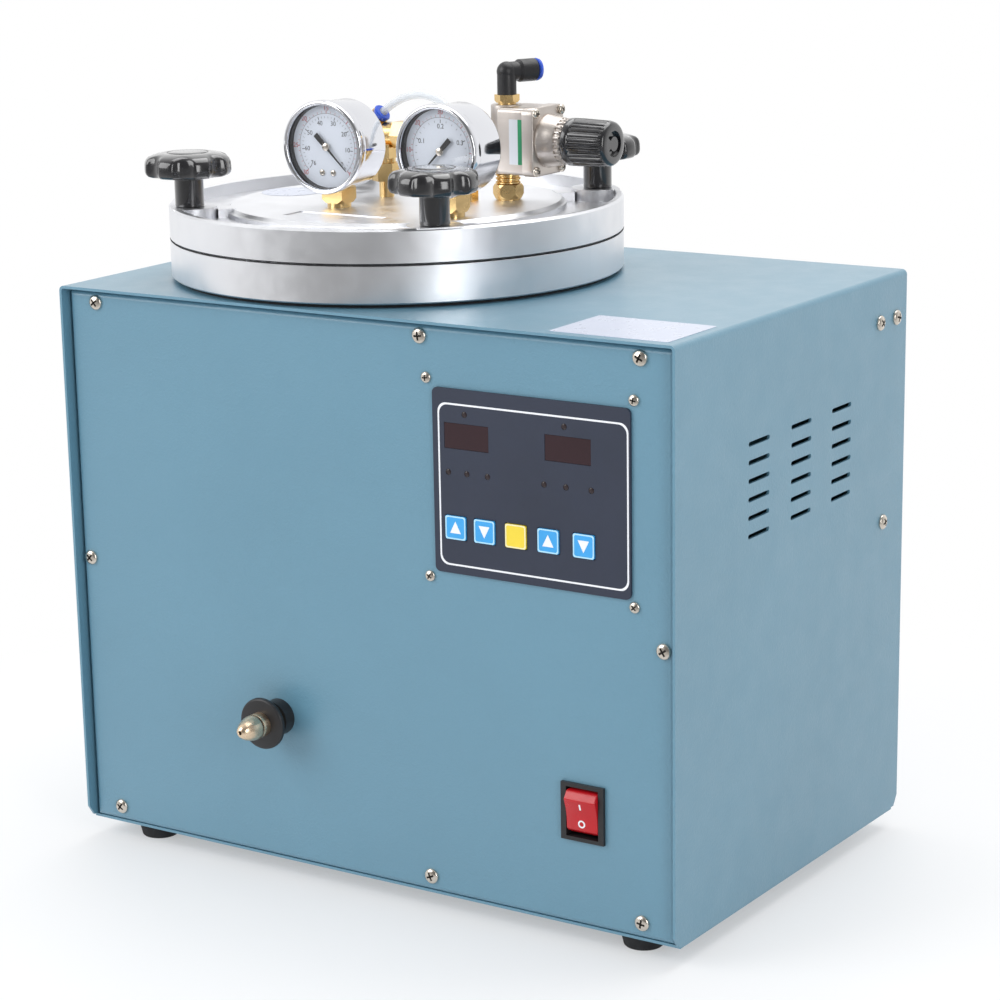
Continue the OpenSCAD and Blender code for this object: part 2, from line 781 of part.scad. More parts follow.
module nozzle_stem() {
    bore_r = 1.5;
    bore_end = 2.5;
    front = disc_y + disc_t;
    color("gold") difference() {
        union() {
            along_y([nozzle_x, front, nozzle_axis_z]) cylinder(r = nozzle_stem_r, h = stem_rear_y - front);
            along_y([nozzle_x, disc_y - tip_hex_h + 1, nozzle_axis_z])
                cylinder(r = neck_r, h = tip_hex_h + disc_t);
            // the collar that the spring pushes forward
            along_y([nozzle_x, collar_y, nozzle_axis_z]) cylinder(r = collar_r, h = collar_t);
        }
        along_y([nozzle_x, disc_y - tip_hex_h, nozzle_axis_z])
            cylinder(r = bore_r, h = stem_rear_y - bore_end - disc_y + tip_hex_h);
    }
}

module nozzle_disc() {
    seat_r = neck_r + seat_gap;
    color("black") along_y([nozzle_x, disc_y, nozzle_axis_z]) rotate_extrude() polygon([
        [seat_r, 0], [nozzle_disc_r - 1, 0], [nozzle_disc_r, 0.8], [nozzle_disc_r, disc_t],
        [seat_r, disc_t]]);
}

module nozzle_tip() {
    mouth = nozzle_out - (face_y - disc_y);
    hex_r = 6.6;
    mouth_bore_r = 1;
    color("gold") translate([nozzle_x, disc_y, nozzle_axis_z]) rotate([90, 0, 0]) difference() {
        union() {
            rotate_extrude() polygon([
                [0, tip_hex_h - 1], [hex_r - 0.4, tip_hex_h - 1], [hex_r - 0.2, tip_hex_h],
                [5.6, tip_hex_h + 3], [4.2, mouth - 4], [2.4, mouth - 0.8], [1.8, mouth], [0, mouth]]);
            cylinder(r = hex_r, h = tip_hex_h - 1 + eps, $fn = 6);
        }
        translate([0, 0, -eps]) cylinder(r = neck_r + seat_gap, h = tip_hex_h + 0.5);
        cylinder(r = mouth_bore_r, h = mouth + 1);
    }
}

// a coil spring round the stem, behind its collar; a swept tube of six sides
function coil_point(t, turns, r, pitch) =
    [r * cos(360 * turns * t), pitch * turns * t, r * sin(360 * turns * t)];

module nozzle_spring() {
    from = collar_y + collar_t + spring_wire;
    len = spring_seat_y - from - spring_wire;
    rings = spring_turns * 14;
    pitch = len / spring_turns;
    points = [for (i = [0 : rings]) coil_point(i / rings, spring_turns, spring_r, pitch)];
    color("silver") translate([nozzle_x, from, nozzle_axis_z]) swept_tube(points, spring_wire * 0.9, 6);
}

module outlet_pipe() {
    low = nozzle_axis_z + block_side / 2;
    color("peru") translate([nozzle_x, outlet_y, low]) rotate_extrude() {
        h = pot_low - low;
        t = 3;
        pipe_r = outlet_r + t;
        flange = 11;
        polygon([[outlet_r, 0], [flange, 0], [flange, t], [pipe_r, t], [pipe_r, h - t], [flange, h - t],
                 [flange, h], [outlet_r, h]]);
    }
}

// ---------- wax pot ----------

module wax_pot() {
    groove_w = 2 * seal_sec_r + 0.2;
    groove = [seal_r - groove_w / 2, seal_r + groove_w / 2];
    foot = 3;
    fillet = 6;
    color("silver") difference() {
        translate([pot_x, pot_y, 0]) rotate_extrude() polygon([
            [0, pot_low], [pot_out_r - foot, pot_low], [pot_out_r, pot_low + foot], [pot_out_r, flange_low],
            [flange_r - edge, flange_low], [flange_r, flange_low + edge], [flange_r, flange_top - edge],
            [flange_r - edge, flange_top], [groove[1], flange_top], [groove[1], flange_top - groove_w],
            [groove[0], flange_top - groove_w], [groove[0], flange_top], [pot_r, flange_top],
            [pot_r, pot_in_z + fillet], [pot_r - fillet, pot_in_z], [0, pot_in_z]]);
        translate([nozzle_x, outlet_y, pot_low - eps]) cylinder(r = outlet_r, h = pot_floor + 2);
        at_studs() translate([0, 0, stud_low - 0.2]) cylinder(r = stud_r + run_gap, h = flange_t);
    }
}

module flange_gasket() {
    color("black") translate([pot_x, pot_y, top_z]) difference() {
        cylinder(r = gasket_r, h = gasket_t);
        translate([0, 0, -eps]) cylinder(r = pot_out_r + 0.6, h = gasket_t + 2 * eps);
    }
}

module pot_heater() {
    gap = 6;
    color("tan") translate([pot_x, pot_y, heater_low]) difference() {
        cylinder(r = pot_out_r + heater_t, h = heater_h);
        translate([0, 0, -eps]) cylinder(r = pot_out_r + seat_gap, h = heater_h + 2 * eps);
        // the gap that the clamping screw draws together
        translate([pot_r, -gap / 2, -eps]) cube([20, gap, heater_h + 2 * eps]);
    }
}

module pot_insulation() {
    top = top_z - sheet_t - 6;
    felt_t = 8;
    fit = 0.2;
    color("white") translate([pot_x, pot_y, 0]) difference() {
        translate([0, 0, heater_low]) cylinder(r = pot_out_r + heater_t + felt_t, h = top - heater_low);
        translate([0, 0, heater_low - 1]) cylinder(r = pot_out_r + heater_t + fit, h = heater_h + 1 + fit);
        translate([0, 0, heater_low - 1]) cylinder(r = pot_out_r + fit, h = top);
    }
}

module pot_seal() {
    color("orangered") translate([pot_x, pot_y, flange_top - seal_sec_r - 0.15])
        rotate_extrude() translate([seal_r, 0]) circle(seal_sec_r);
}

module lid_studs() {
    color("silver") at_studs() translate([0, 0, stud_low])
        cylinder(r = stud_r, h = hub_low + stud_grip - stud_low);
}

// ---------- inside the cabinet ----------

module vacuum_pump() {
    at = [cab_w / 2 - pump_side, rear_face_y - sheet_t - rear_frame_deep - pump_behind];
    front = at[1] - motor_len;
    head_low = pump_axis_z - pump_head[2] / 2;
    plate_t = 4;
    color("dimgray") {
        translate([at[0] - pump_head[0] / 2, at[1], head_low]) cube(pump_head);
        along_y([at[0], front, pump_axis_z]) cylinder(r = motor_r, h = motor_len + eps);
        along_y([at[0], front - 8, pump_axis_z]) cylinder(r = 4, h = 9);
        for (i = [-1, 1])
            translate([at[0] + i * pump_head[0] / 4, at[1] + pump_head[1] / 2, head_low + pump_head[2] - eps])
                cylinder(r = 4, h = 14);
        // rubber mounts between the pump's plate and the pan
        translate([at[0] - motor_r - 6, front + 6, head_low - plate_t])
            cube([2 * motor_r + 12, motor_len + 22, plate_t]);
        for (i = [-1, 1], y = [14, motor_len + 18])
            translate([at[0] + i * (motor_r - 2), front + y, base_z])
                cylinder(r = 6, h = head_low - plate_t - base_z);
    }
}

module power_supply() {
    at = [cab_w / 2 - supply_side, face_y + sheet_t + front_frame_deep + 3.5];
    strap = [8, 12, 10];
    core_z = base_z + strap[2] + (supply_coil[2] - supply_core[2]) / 2;
    color("gray") {
        translate([at[0], at[1], core_z]) cube(supply_core);
        translate([at[0] + (supply_core[0] - supply_coil[0]) / 2,
                   at[1] + (supply_core[1] - supply_coil[1]) / 2, base_z + strap[2]]) cube(supply_coil);
        for (y = [2, supply_core[1] - strap[1] - 2])
            translate([at[0] - strap[0], at[1] + y, base_z])
                cube([supply_core[0] + 2 * strap[0], strap[1], strap[2]]);
    }
}

module solenoid_valves() {
    at = [cab_w / 2 - valve_side, rear_face_y - rear_frame_deep - valve_side_y];
    seat_z = base_z + valve_base[2];
    coil_z = seat_z + valve_seat[2];
    color("slategray") {
        translate([at[0] - valve_base[0] / 2, at[1] - valve_base[1] / 2, base_z]) cube(valve_base);
        for (i = [-1, 1]) translate([at[0], at[1] + i * valve_base[1] / 4, 0]) {
            translate([-valve_seat[0] / 2, -valve_seat[1] / 2, seat_z - eps]) cube(valve_seat);
            translate([-valve_coil[0] / 2, -valve_coil[1] / 2, coil_z - eps]) cube(valve_coil);
            translate([0, 0, coil_z + valve_coil[2] - 2 * eps]) cylinder(r = 6, h = 4);
        }
    }
}

module power_inlet() {
    flange_low = [inlet_x - inlet_flange[0] / 2, inlet_z - inlet_flange[1] / 2];
    color("black") difference() {
        union() {
            translate([0, rear_face_y, 0]) extrude_y(inlet_flange_t)
                round_rect(flange_low, flange_low + inlet_flange, 5);
            translate([inlet_x - inlet_body[0] / 2, rear_face_y - inlet_deep, inlet_z - inlet_body[1] / 2])
                cube([inlet_body[0], inlet_deep + eps, inlet_body[1]]);
        }
        translate([inlet_x - socket[0] / 2, rear_face_y + inlet_flange_t - socket_deep,
                   inlet_z - socket[1] / 2]) cube([socket[0], socket_deep + 1, socket[1]]);
        at_inlet_screws() translate([0, 0, -1]) cylinder(r = m3_r + screw_gap, h = 10);
    }
    // line, neutral and earth blades
    color("silver") for (p = [[-7, -2.2], [7, -2.2], [0, 1.8]])
        translate([inlet_x + p[0] - 1, rear_face_y + inlet_flange_t - socket_deep - eps, inlet_z + p[1] - 2])
            cube([2, socket_deep - 3, 4]);
}

// ---------- lid ----------

module lid() {
    pocket_z = lid_top - lid_pocket;
    disc_low_r = lid_disc_r + 1.2;
    neck_w = 13;
    plate = [57, 17];
    plate_low = [-22, -76];
    color("silver") difference() {
        union() {
            translate([pot_x, pot_y, 0]) rotate_extrude() polygon([
                [0, flange_top + 3], [pot_r - 4, flange_top + 3], [pot_r - 1, flange_top],
                [flange_r - edge, flange_top], [flange_r, flange_top + edge], [flange_r, lid_top - 1.2],
                [flange_r - 1.2, lid_top], [flange_r - rim_w, lid_top], [flange_r - rim_w, pocket_z],
                [disc_low_r, pocket_z], [disc_low_r, lid_mid - 2.2], [lid_disc_r, lid_mid - 1.6],
                [lid_disc_r - 1.6, lid_mid], [0, lid_mid]]);
            intersection() {
                for (a = stud_angles)
                    translate([pot_x, pot_y, pocket_z - eps]) rotate(a) {
                        translate([stud_circle_r, 0, 0]) cylinder(r = boss_r, h = lid_pocket + eps);
                        translate([lid_disc_r - 3, -neck_w / 2, 0]) cube([10, neck_w, lid_pocket - 1.5]);
                    }
                translate([pot_x, pot_y, flange_top]) cylinder(r = flange_r - 0.5, h = 2 * lid_t);
            }
        }
        at_studs() translate([0, 0, flange_top - eps]) cylinder(r = stud_hole_r, h = 2 * lid_t);
        // seats of the knobs' washers
        at_studs() translate([0, 0, lid_top - washer_t]) cylinder(r = washer_r + seat_gap, h = lid_t);
        for (g = gauge_at) at_lid(g) translate([0, 0, -lid_t]) cylinder(r = 5.5 + run_gap, h = 2 * lid_t);
        at_lid(vent_at) translate([0, 0, -lid_t]) cylinder(r = 3.5 + run_gap, h = 2 * lid_t);
        at_lid(inlet_at) translate([0, 0, -lid_t]) cylinder(r = 3.5 + run_gap, h = 2 * lid_t);
        at_lid(reg_at) translate([0, 0, -lid_t]) cylinder(r = nipple_r + run_gap, h = 2 * lid_t);
        // shallow recess of the bare nameplate
        at_lid([0, 0]) translate([plate_low[0], plate_low[1], -0.5]) cube([plate[0], plate[1], 1]);
    }
}

// a point given from the pot's axis and the top of the lid's middle
module at_lid(p, z = 0) {
    translate([pot_x + p[0], pot_y + p[1], lid_mid + z]) children();
}

module knob_washer(i) {
    color("silver") at_stud(stud_angles[i]) translate([0, 0, lid_top - washer_t]) difference() {
        cylinder(r = washer_r, h = washer_t);
        translate([0, 0, -eps]) cylinder(r = stud_r + 0.3, h = washer_t + 2 * eps);
    }
}

// a star knob with a hub; its scallops are cut from a domed head
module star_knob(i) {
    scallop_r = knob_r * 0.34;
    scallop_at = knob_r * 1.19;
    cap_r = knob_r * 0.46;
    color("black") at_stud(stud_angles[i]) translate([0, 0, hub_low]) difference() {
        union() {
            cylinder(r = knob_hub_r, h = knob_hub_h + 1);
            translate([0, 0, knob_hub_h]) difference() {
                rotate_extrude() polygon([
                    [0, 0], [knob_r - 2, 0], [knob_r, 1.6], [knob_r, knob_head_h - 7],
                    [knob_r - 0.8, knob_head_h - 4.4], [knob_r - 3, knob_head_h - 2.4],
                    [knob_r - 7, knob_head_h - 1], [cap_r + 0.5, knob_head_h - 0.2],
                    [cap_r, knob_head_h - 0.9], [cap_r - 0.5, knob_head_h], [0, knob_head_h]]);
                for (n = [0 : knob_lobes - 1])
                    rotate(360 / knob_lobes * (n + 0.5)) translate([scallop_at, 0, -1])
                        cylinder(r = scallop_r, h = knob_head_h + 2);
            }
        }
        translate([0, 0, -eps]) cylinder(r = stud_r + run_gap, h = knob_bore_deep);
    }
}

module knob_washer_1() { knob_washer(0); }
module knob_washer_2() { knob_washer(1); }
module knob_washer_3() { knob_washer(2); }
module knob_washer_4() { knob_washer(3); }
module star_knob_1() { star_knob(0); }
module star_knob_2() { star_knob(1); }
module star_knob_3() { star_knob(2); }
module star_knob_4() { star_knob(3); }

// ---------- gauges ----------

// a gauge's own frame: origin on its axis in the bezel's front plane, +Z out of its back
module at_gauge(i) {
    at_lid(gauge_at[i], gauge_z + gauge_lift[i]) rotate(gauge_turn[i]) translate([0, -gauge_ahead, 0])
        rotate([-90, 0, 0]) children();
}

module gauge_cases() {
    bezel_w = 2.8;
    case_r = gauge_r - 1.2;
    color("silver") for (i = [0, 1]) difference() {
        at_gauge(i) rotate_extrude() polygon([
            [gauge_r - bezel_w, 1.2], [gauge_r - bezel_w + 0.8, 0.2], [gauge_r - 1, 0], [gauge_r, 1],
            [gauge_r, gauge_bezel_t], [case_r, gauge_bezel_t + 0.6], [case_r, gauge_deep - 2],
            [case_r - 2, gauge_deep], [0, gauge_deep], [0, gauge_deep - 1],
            [case_r - 2.4, gauge_deep - 1], [case_r - 1, gauge_deep - 2.4], [case_r - 1, lens_back + 0.2],
            [gauge_r - bezel_w, lens_back + 0.2]]);
        at_lid(gauge_at[i], gauge_z + gauge_lift[i] - gauge_r - 2) cylinder(r = 5, h = 6);
    }
}

module gauge_dials() {
    dial_r = gauge_r - 2.4;
    color("white") for (i = [0, 1]) at_gauge(i) difference() {
        translate([0, 0, dial_back]) cylinder(r = dial_r, h = 0.8);
        translate([0, 0, dial_back - eps]) cylinder(r = 1 + seat_gap, h = 1);
    }
}

module gauge_lenses() {
    color("lightcyan") for (i = [0, 1]) at_gauge(i)
        translate([0, 0, lens_back + 0.25]) cylinder(r = gauge_r - 2.35, h = 1);
}

// the pointer and its arbor; the angle counts from straight up, clockwise
module pointer(i, angle) {
    tip = gauge_r * 0.72;
    tail = gauge_r * 0.36;
    color("black") at_gauge(i) rotate(angle) {
        translate([0, 0, dial_back - 1.6]) linear_extrude(0.6) polygon([
            [-0.3, -tip], [0.3, -tip], [1, 0], [1.3, tail], [-1.3, tail], [-1, 0]]);
        translate([0, 0, dial_back - 2]) cylinder(r = 2.2, h = 1.2);
        translate([0, 0, dial_back - 2]) cylinder(r = 1, h = 8);
    }
}

module vacuum_pointer() { pointer(0, pointer_start[0]); }
module pressure_pointer() { pointer(1, pointer_start[1]); }

module gauge_socket(i) {
    socket_h = gauge_z + gauge_lift[i] - gauge_r + 2;
    difference() {
        at_lid(gauge_at[i]) union() {
            intersection() {
                translate([-socket_side / 2, -socket_side / 2, socket_low])
                    cube([socket_side, socket_side, socket_h]);
                translate([0, 0, socket_low])
                    cylinder(r1 = socket_side * 0.56, r2 = socket_side * 1.3, h = socket_h);
            }
            translate([0, 0, -lid_t + 6]) cylinder(r = 5.5, h = lid_t - 6 + socket_low + eps);
            cylinder(r = 6.6, h = socket_low + eps);
        }
        at_gauge(i) translate([0, 0, -1]) cylinder(r = gauge_r - 1.15, h = gauge_deep + 2);
        at_lid(gauge_at[i]) translate([0, 0, -lid_t]) cylinder(r = 2, h = 2 * lid_t);
    }
}

module hex_prism(flat_r, h) {
    rotate(30) cylinder(r = flat_r / cos(30), h = h, $fn = 6);
}

module brass_fittings() {
    nut_h = 8.2;
    color("goldenrod") {
        for (i = [0, 1]) gauge_socket(i);
        // nipple and nut that carry the regulator
        at_lid(reg_at) difference() {
            union() {
                translate([0, 0, -lid_t + 6]) cylinder(r = nipple_r, h = lid_t - 6 + reg_low + 4);
                translate([0, 0, 0.6]) intersection() {
                    hex_prism(7.4, nut_h);
                    cylinder(r1 = 7.2, r2 = 11, h = nut_h);
                    cylinder(r1 = 12, r2 = 7.6, h = nut_h);
                }
                cylinder(r = 6.6, h = 1);
            }
            translate([0, 0, -lid_t]) cylinder(r = 3, h = 3 * lid_t);
        }
        // hexagon and spigot that carry the elbow
        at_lid(reg_at, reg_low + reg_h) difference() {
            union() {
                translate([0, 0, -6]) cylinder(r = 5, h = 8);
                intersection() {
                    translate([0, 0, 1]) hex_prism(6, elbow_low - reg_low - reg_h - 1);
                    translate([0, 0, 1]) cylinder(r1 = 6.1, r2 = 12, h = 8);
                }
                cylinder(r = 3.5, h = elbow_low - reg_low - reg_h + 8);
            }
            translate([0, 0, -7]) cylinder(r = 2.2, h = 40);
        }
        // straight fitting that takes the clear tube down into the pot
        at_lid(inlet_at) difference() {
            union() {
                translate([0, 0, -lid_t + 6]) cylinder(r = 3.5, h = lid_t - 5);
                hex_prism(5.5, 7);
                cylinder(r = 5, h = inlet_h);
            }
            translate([0, 0, -lid_t]) cylinder(r = 1.5, h = 3 * lid_t);
            translate([0, 0, inlet_h - 10]) cylinder(r = tube_d / 2 + 0.6, h = 11);
        }
    }
}

// ---------- vent valve and clear tube ----------

// the frame of the stub that the tube leaves the valve by
module at_stub() {
    at_lid(vent_at, vent_axis_z) translate([-tee_arm, 0, 0]) rotate([0, stub_tilt, 0]) children();
}

module vent_valve() {
    color("goldenrod") difference() {
        union() {
            at_lid(vent_at) {
                translate([0, 0, -lid_t + 6]) cylinder(r = 3.5, h = lid_t + 4);
                cylinder(r = 4.2, h = 10);
                translate([0, 0, 9]) hex_prism(vent_hex[0], vent_hex[1]);
                translate([0, 0, 9.5]) cylinder(r = vent_neck_r, h = vent_axis_z - 9.5);
                translate([-vent_cube[0] / 2, -vent_cube[0] / 2, vent_axis_z - tee_r - vent_cube[1] + 1.5])
                    cube([vent_cube[0], vent_cube[0], vent_cube[1]]);
            }
            at_lid(vent_at, vent_axis_z) along_x([-tee_arm, 0, 0]) cylinder(r = tee_r, h = 2 * tee_arm - 3);
            at_lid(vent_at, vent_axis_z) along_x([tee_arm - 7, 0, 0]) hex_prism(tee_hex[0], tee_hex[1]);
            at_lid(vent_at, vent_axis_z) translate([-tee_arm, 0, 0]) sphere(r = tee_r);
            at_stub() cylinder(r = 5.2, h = tee_r + stub_len);
        }
        at_stub() translate([0, 0, tee_r + stub_len - 9]) cylinder(r = tube_d / 2 + 0.6, h = 10);
        at_stub() translate([0, 0, -1]) cylinder(r = 1.5, h = 12);
        at_lid(vent_at, -lid_t) cylinder(r = 1.5, h = lid_t + vent_axis_z);
    }
}

module collar() {
    rotate_extrude() polygon([
        [tube_d / 2 + 0.05, -6], [tube_d / 2 + 0.55, -6], [tube_d / 2 + 0.55, 0.2],
        [collar_out_r, 0.2], [collar_out_r + 0.6, collar_h - 0.8], [collar_out_r, collar_h],
        [tube_d / 2 + 0.05, collar_h]]);
}

module tube_collars() {
    color("royalblue") {
        at_stub() translate([0, 0, tee_r + stub_len]) collar();
        at_lid(inlet_at, inlet_h) collar();
    }
}

function bezier(a, b, c, d, t) =
    pow(1 - t, 3) * a + 3 * t * pow(1 - t, 2) * b + 3 * t * t * (1 - t) * c + pow(t, 3) * d;

// the tube's route is a cubic curve from the valve's stub to the straight fitting
module clear_tube() {
    into = 6;
    from_pull = 42;
    to_pull = 27;
    rings = 26;
    stub_dir = [sin(stub_tilt), 0, cos(stub_tilt)];
    mouth = [vent_at[0] - tee_arm, vent_at[1], vent_axis_z] + (tee_r + stub_len) * stub_dir;
    end = [inlet_at[0], inlet_at[1], inlet_h];
    route = concat(
        [mouth - into * stub_dir],
        [for (i = [0 : rings])
            bezier(mouth, mouth + from_pull * stub_dir, end + [0, 0, to_pull], end, i / rings)],
        [end - [0, 0, into]]);
    color("whitesmoke") at_lid([0, 0]) swept_tube(route, tube_d / 2, 10, tube_bore / 2);
}

// a rod of n sides round a list of points, or a tube with a bore
function unit(v) = v / norm(v);
function heading(p, i) = unit(p[min(i + 1, len(p) - 1)] - p[max(i - 1, 0)]);
function side_of(v) = unit(cross(v, abs(v[1]) < 0.8 ? [0, 1, 0] : [0, 0, 1]));

function ring_points(p, r, n) = [
    for (i = [0 : len(p) - 1]) let (f = heading(p, i), s = side_of(f), u = cross(f, s))
        for (k = [0 : n - 1]) p[i] + r * (cos(360 * k / n) * s + sin(360 * k / n) * u)];
function ring_walls(n, last, from) = [for (i = [0 : last - 1]) for (k = [0 : n - 1])
    let (a = from + i * n + k, b = from + i * n + (k + 1) % n) [a, b, b + n, a + n]];
function turned(faces) = [for (f = faces) [for (j = [len(f) - 1 : -1 : 0]) f[j]]];

module swept_tube(p, r, n, bore_r = 0) {
    last = len(p) - 1;
    if (bore_r == 0) {
        cap = [for (k = [0 : n - 1]) k];
        far = [for (k = cap) k + last * n];
        polyhedron(ring_points(p, r, n), concat(turned([cap]), ring_walls(n, last, 0), [far]));
    } else {
        inner = (last + 1) * n;
        ends = [for (k = [0 : n - 1]) let (b = (k + 1) % n) [b, k, inner + k, inner + b]];
        far = [for (e = turned(ends)) [for (v = e) v + last * n]];
        polyhedron(concat(ring_points(p, r, n), ring_points(p, bore_r, n)),
                   concat(ring_walls(n, last, 0), turned(ring_walls(n, last, inner)), ends, far));
    }
}

// ---------- regulator ----------

module at_reg(z = 0) {
    at_lid(reg_at, reg_low + z) children();
}

module regulator_body() {
    half = reg_block[1] / 2;
    block_from = 5;
    waist_back = 5.5;
    color("tan") difference() {
        union() {
            at_reg() cylinder(r = reg_col_r - 1, h = reg_h);
            for (z = [0, reg_h - 10]) at_reg(z) cylinder(r = reg_col_r, h = 10);
            at_reg() translate([0, -half + 3, 4]) cube([reg_block[0] - 4, 2 * half - 6, reg_h - 8]);
            at_reg() translate([block_from, 0, 0]) rotate([90, 0, 90])
                linear_extrude(reg_block[0] - block_from) round_rect([-half, 0], [half, reg_h], 3);
        }
        at_reg(-1) cylinder(r = nipple_r + run_gap, h = 6);
        at_reg(reg_h - 6.2) cylinder(r = 5 + run_gap, h = 8);
        at_reg() along_x([8, 0, reg_h / 2]) cylinder(r = spindle_r + run_gap, h = 30);
        // waists between the block and its flange
        for (i = [-1, 1])
            at_reg() translate([reg_block[0] - waist_back, i * (half + 1), -1])
                cylinder(r = 2.6, h = reg_h + 2);
    }
}

module regulator_bonnet() {
    teeth = 24;
    color("tan") at_reg(reg_h / 2) along_x([reg_block[0], 0, 0]) difference() {
        union() {
            rotate_extrude() polygon([
                [spindle_r + run_gap, 0], [bonnet_r + 0.6, 0], [bonnet_r + 0.6, 1.5], [bonnet_r, 2.5],
                [bonnet_r - 1.2, bonnet_len - 4], [bonnet_r - 2.6, bonnet_len - 3.6],
                [bonnet_r - 2.6, bonnet_len], [spindle_r + run_gap, bonnet_len]]);
            for (n = [0 : teeth - 1])
                rotate(360 / teeth * n) translate([bonnet_r - 3, -0.7, bonnet_len - 4]) cube([1.6, 1.4, 3.4]);
        }
    }
    color("silver") at_reg(reg_h / 2) for (p = reg_screw_at)
        translate([reg_block[0] + eps, p[0], p[1]]) rotate([0, 90, 0]) mirror([0, 0, 1])
            pan_head(2.6, 1.8);
}

module pan_head(r, h) {
    difference() {
        rotate_extrude() polygon([
            [0, 0], [r, 0], [r, -h * 0.4], [r * 0.75, -h * 0.85], [0, -h]]);
        for (a = [0, 90])
            rotate(a) translate([-r * 0.6, -r * 0.13, -h - eps]) cube([r * 1.2, r * 0.26, h * 0.6]);
    }
}

module regulator_spindle() {
    color("silver") at_reg(reg_h / 2) along_x([9, 0, 0])
        cylinder(r = spindle_r, h = reg_block[0] - 9 + bonnet_len + 14);
}

module regulator_knob() {
    wall_r = reg_knob_r - 1;
    color("black") at_reg(reg_h / 2) along_x([reg_block[0] + bonnet_len + 0.3, 0, 0]) difference() {
        intersection() {
            union() {
                cylinder(r = wall_r, h = reg_knob_len);
                for (n = [0 : reg_ribs - 1])
                    rotate(360 / reg_ribs * n) translate([wall_r - 1, -0.7, 3])
                        cube([2.2, 1.4, reg_knob_len - 6]);
                cylinder(r = reg_knob_r - 0.2, h = 3.2);
            }
            rotate_extrude() polygon([
                [0, 0], [reg_knob_r + 0.3, 0], [reg_knob_r - 0.6, reg_knob_len - 2],
                [reg_knob_r - 2, reg_knob_len], [0, reg_knob_len]]);
        }
        translate([0, 0, -eps]) cylinder(r = spindle_r + run_gap, h = 16 + reg_pull);
        // the slot round the middle of the end face
        translate([0, 0, reg_knob_len - 2.5]) difference() {
            cylinder(r = 7, h = 4);
            translate([0, 0, -1]) cylinder(r = 4, h = 6);
            translate([-10, -3, -1]) cube([7, 6, 6]);
        }
    }
}

// ---------- inlet elbow ----------

module at_elbow(z = 0) {
    at_lid(reg_at, z) rotate(-elbow_turn) children();
}

module elbow() {
    sleeve_len = 11;
    sleeve_from = elbow_arm - sleeve_len;
    color("dimgray") difference() {
        union() {
            at_elbow(elbow_low) cylinder(r = elbow_leg_r, h = elbow_z - elbow_low);
            at_elbow(elbow_z) sphere(r = elbow_leg_r + 0.2);
            at_elbow(elbow_z) along_y([0, 0, 0]) cylinder(r = elbow_leg_r - 0.1, h = sleeve_from + 1);
            at_elbow(elbow_z) along_y([0, sleeve_from, 0]) rotate_extrude() polygon([
                [0, 0], [elbow_leg_r, 0], [elbow_arm_r, 1.4], [elbow_arm_r, sleeve_len], [0, sleeve_len]]);
        }
        at_elbow(elbow_low - eps) cylinder(r = 3.5 + run_gap, h = 8.5);
        at_elbow(elbow_low) cylinder(r = 2, h = elbow_z - elbow_low);
        at_elbow(elbow_z) along_y([0, -2.4, 0]) cylinder(r = 2.4, h = elbow_arm);
        at_elbow(elbow_z) along_y([0, sleeve_from, 0]) cylinder(r = collet_r + run_gap, h = sleeve_len + 1);
    }
}

module elbow_collet() {
    bore_r = hose_r + 0.08;
    leg = 9;
    rim = 2;
    color("royalblue") at_elbow(elbow_z) along_y([0, elbow_arm, 0]) rotate_extrude() polygon([
        [bore_r, -leg], [collet_r, -leg], [collet_r, collet_travel], [elbow_arm_r - 0.6, collet_travel],
        [elbow_arm_r, collet_travel + 0.6], [elbow_arm_r - 0.4, collet_travel + rim],
        [bore_r, collet_travel + rim]]);
}

base_pan();
feet();
front_frame();
rear_frame();
front_panel();
rear_panel();
cover();
pan_head_screws();
control_fascia();
display_windows();
indicator_lamps();
control_board();
key_up_left();
key_down_left();
key_start();
key_up_right();
key_down_right();
switch_housing();
switch_rocker();
nozzle_block();
nozzle_bush();
nozzle_stem();
nozzle_disc();
nozzle_tip();
nozzle_spring();
outlet_pipe();
wax_pot();
flange_gasket();
pot_heater();
pot_insulation();
pot_seal();
lid_studs();
vacuum_pump();
power_supply();
solenoid_valves();
power_inlet();
lid();
knob_washer_1();
knob_washer_2();
knob_washer_3();
knob_washer_4();
star_knob_1();
star_knob_2();
star_knob_3();
star_knob_4();
gauge_cases();
gauge_dials();
gauge_lenses();
vacuum_pointer();
pressure_pointer();
brass_fittings();
vent_valve();
tube_collars();
clear_tube();
regulator_body();
regulator_bonnet();
regulator_spindle();
regulator_knob();
elbow();
elbow_collet();
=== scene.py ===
"""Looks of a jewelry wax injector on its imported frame: camera, light, materials, and the pieces
whose finer form is built here in mesh code. Every size is in metres, in the frame's own axes."""
import json
import math

import bmesh
import bpy
import numpy as np
from mathutils import Matrix, Vector


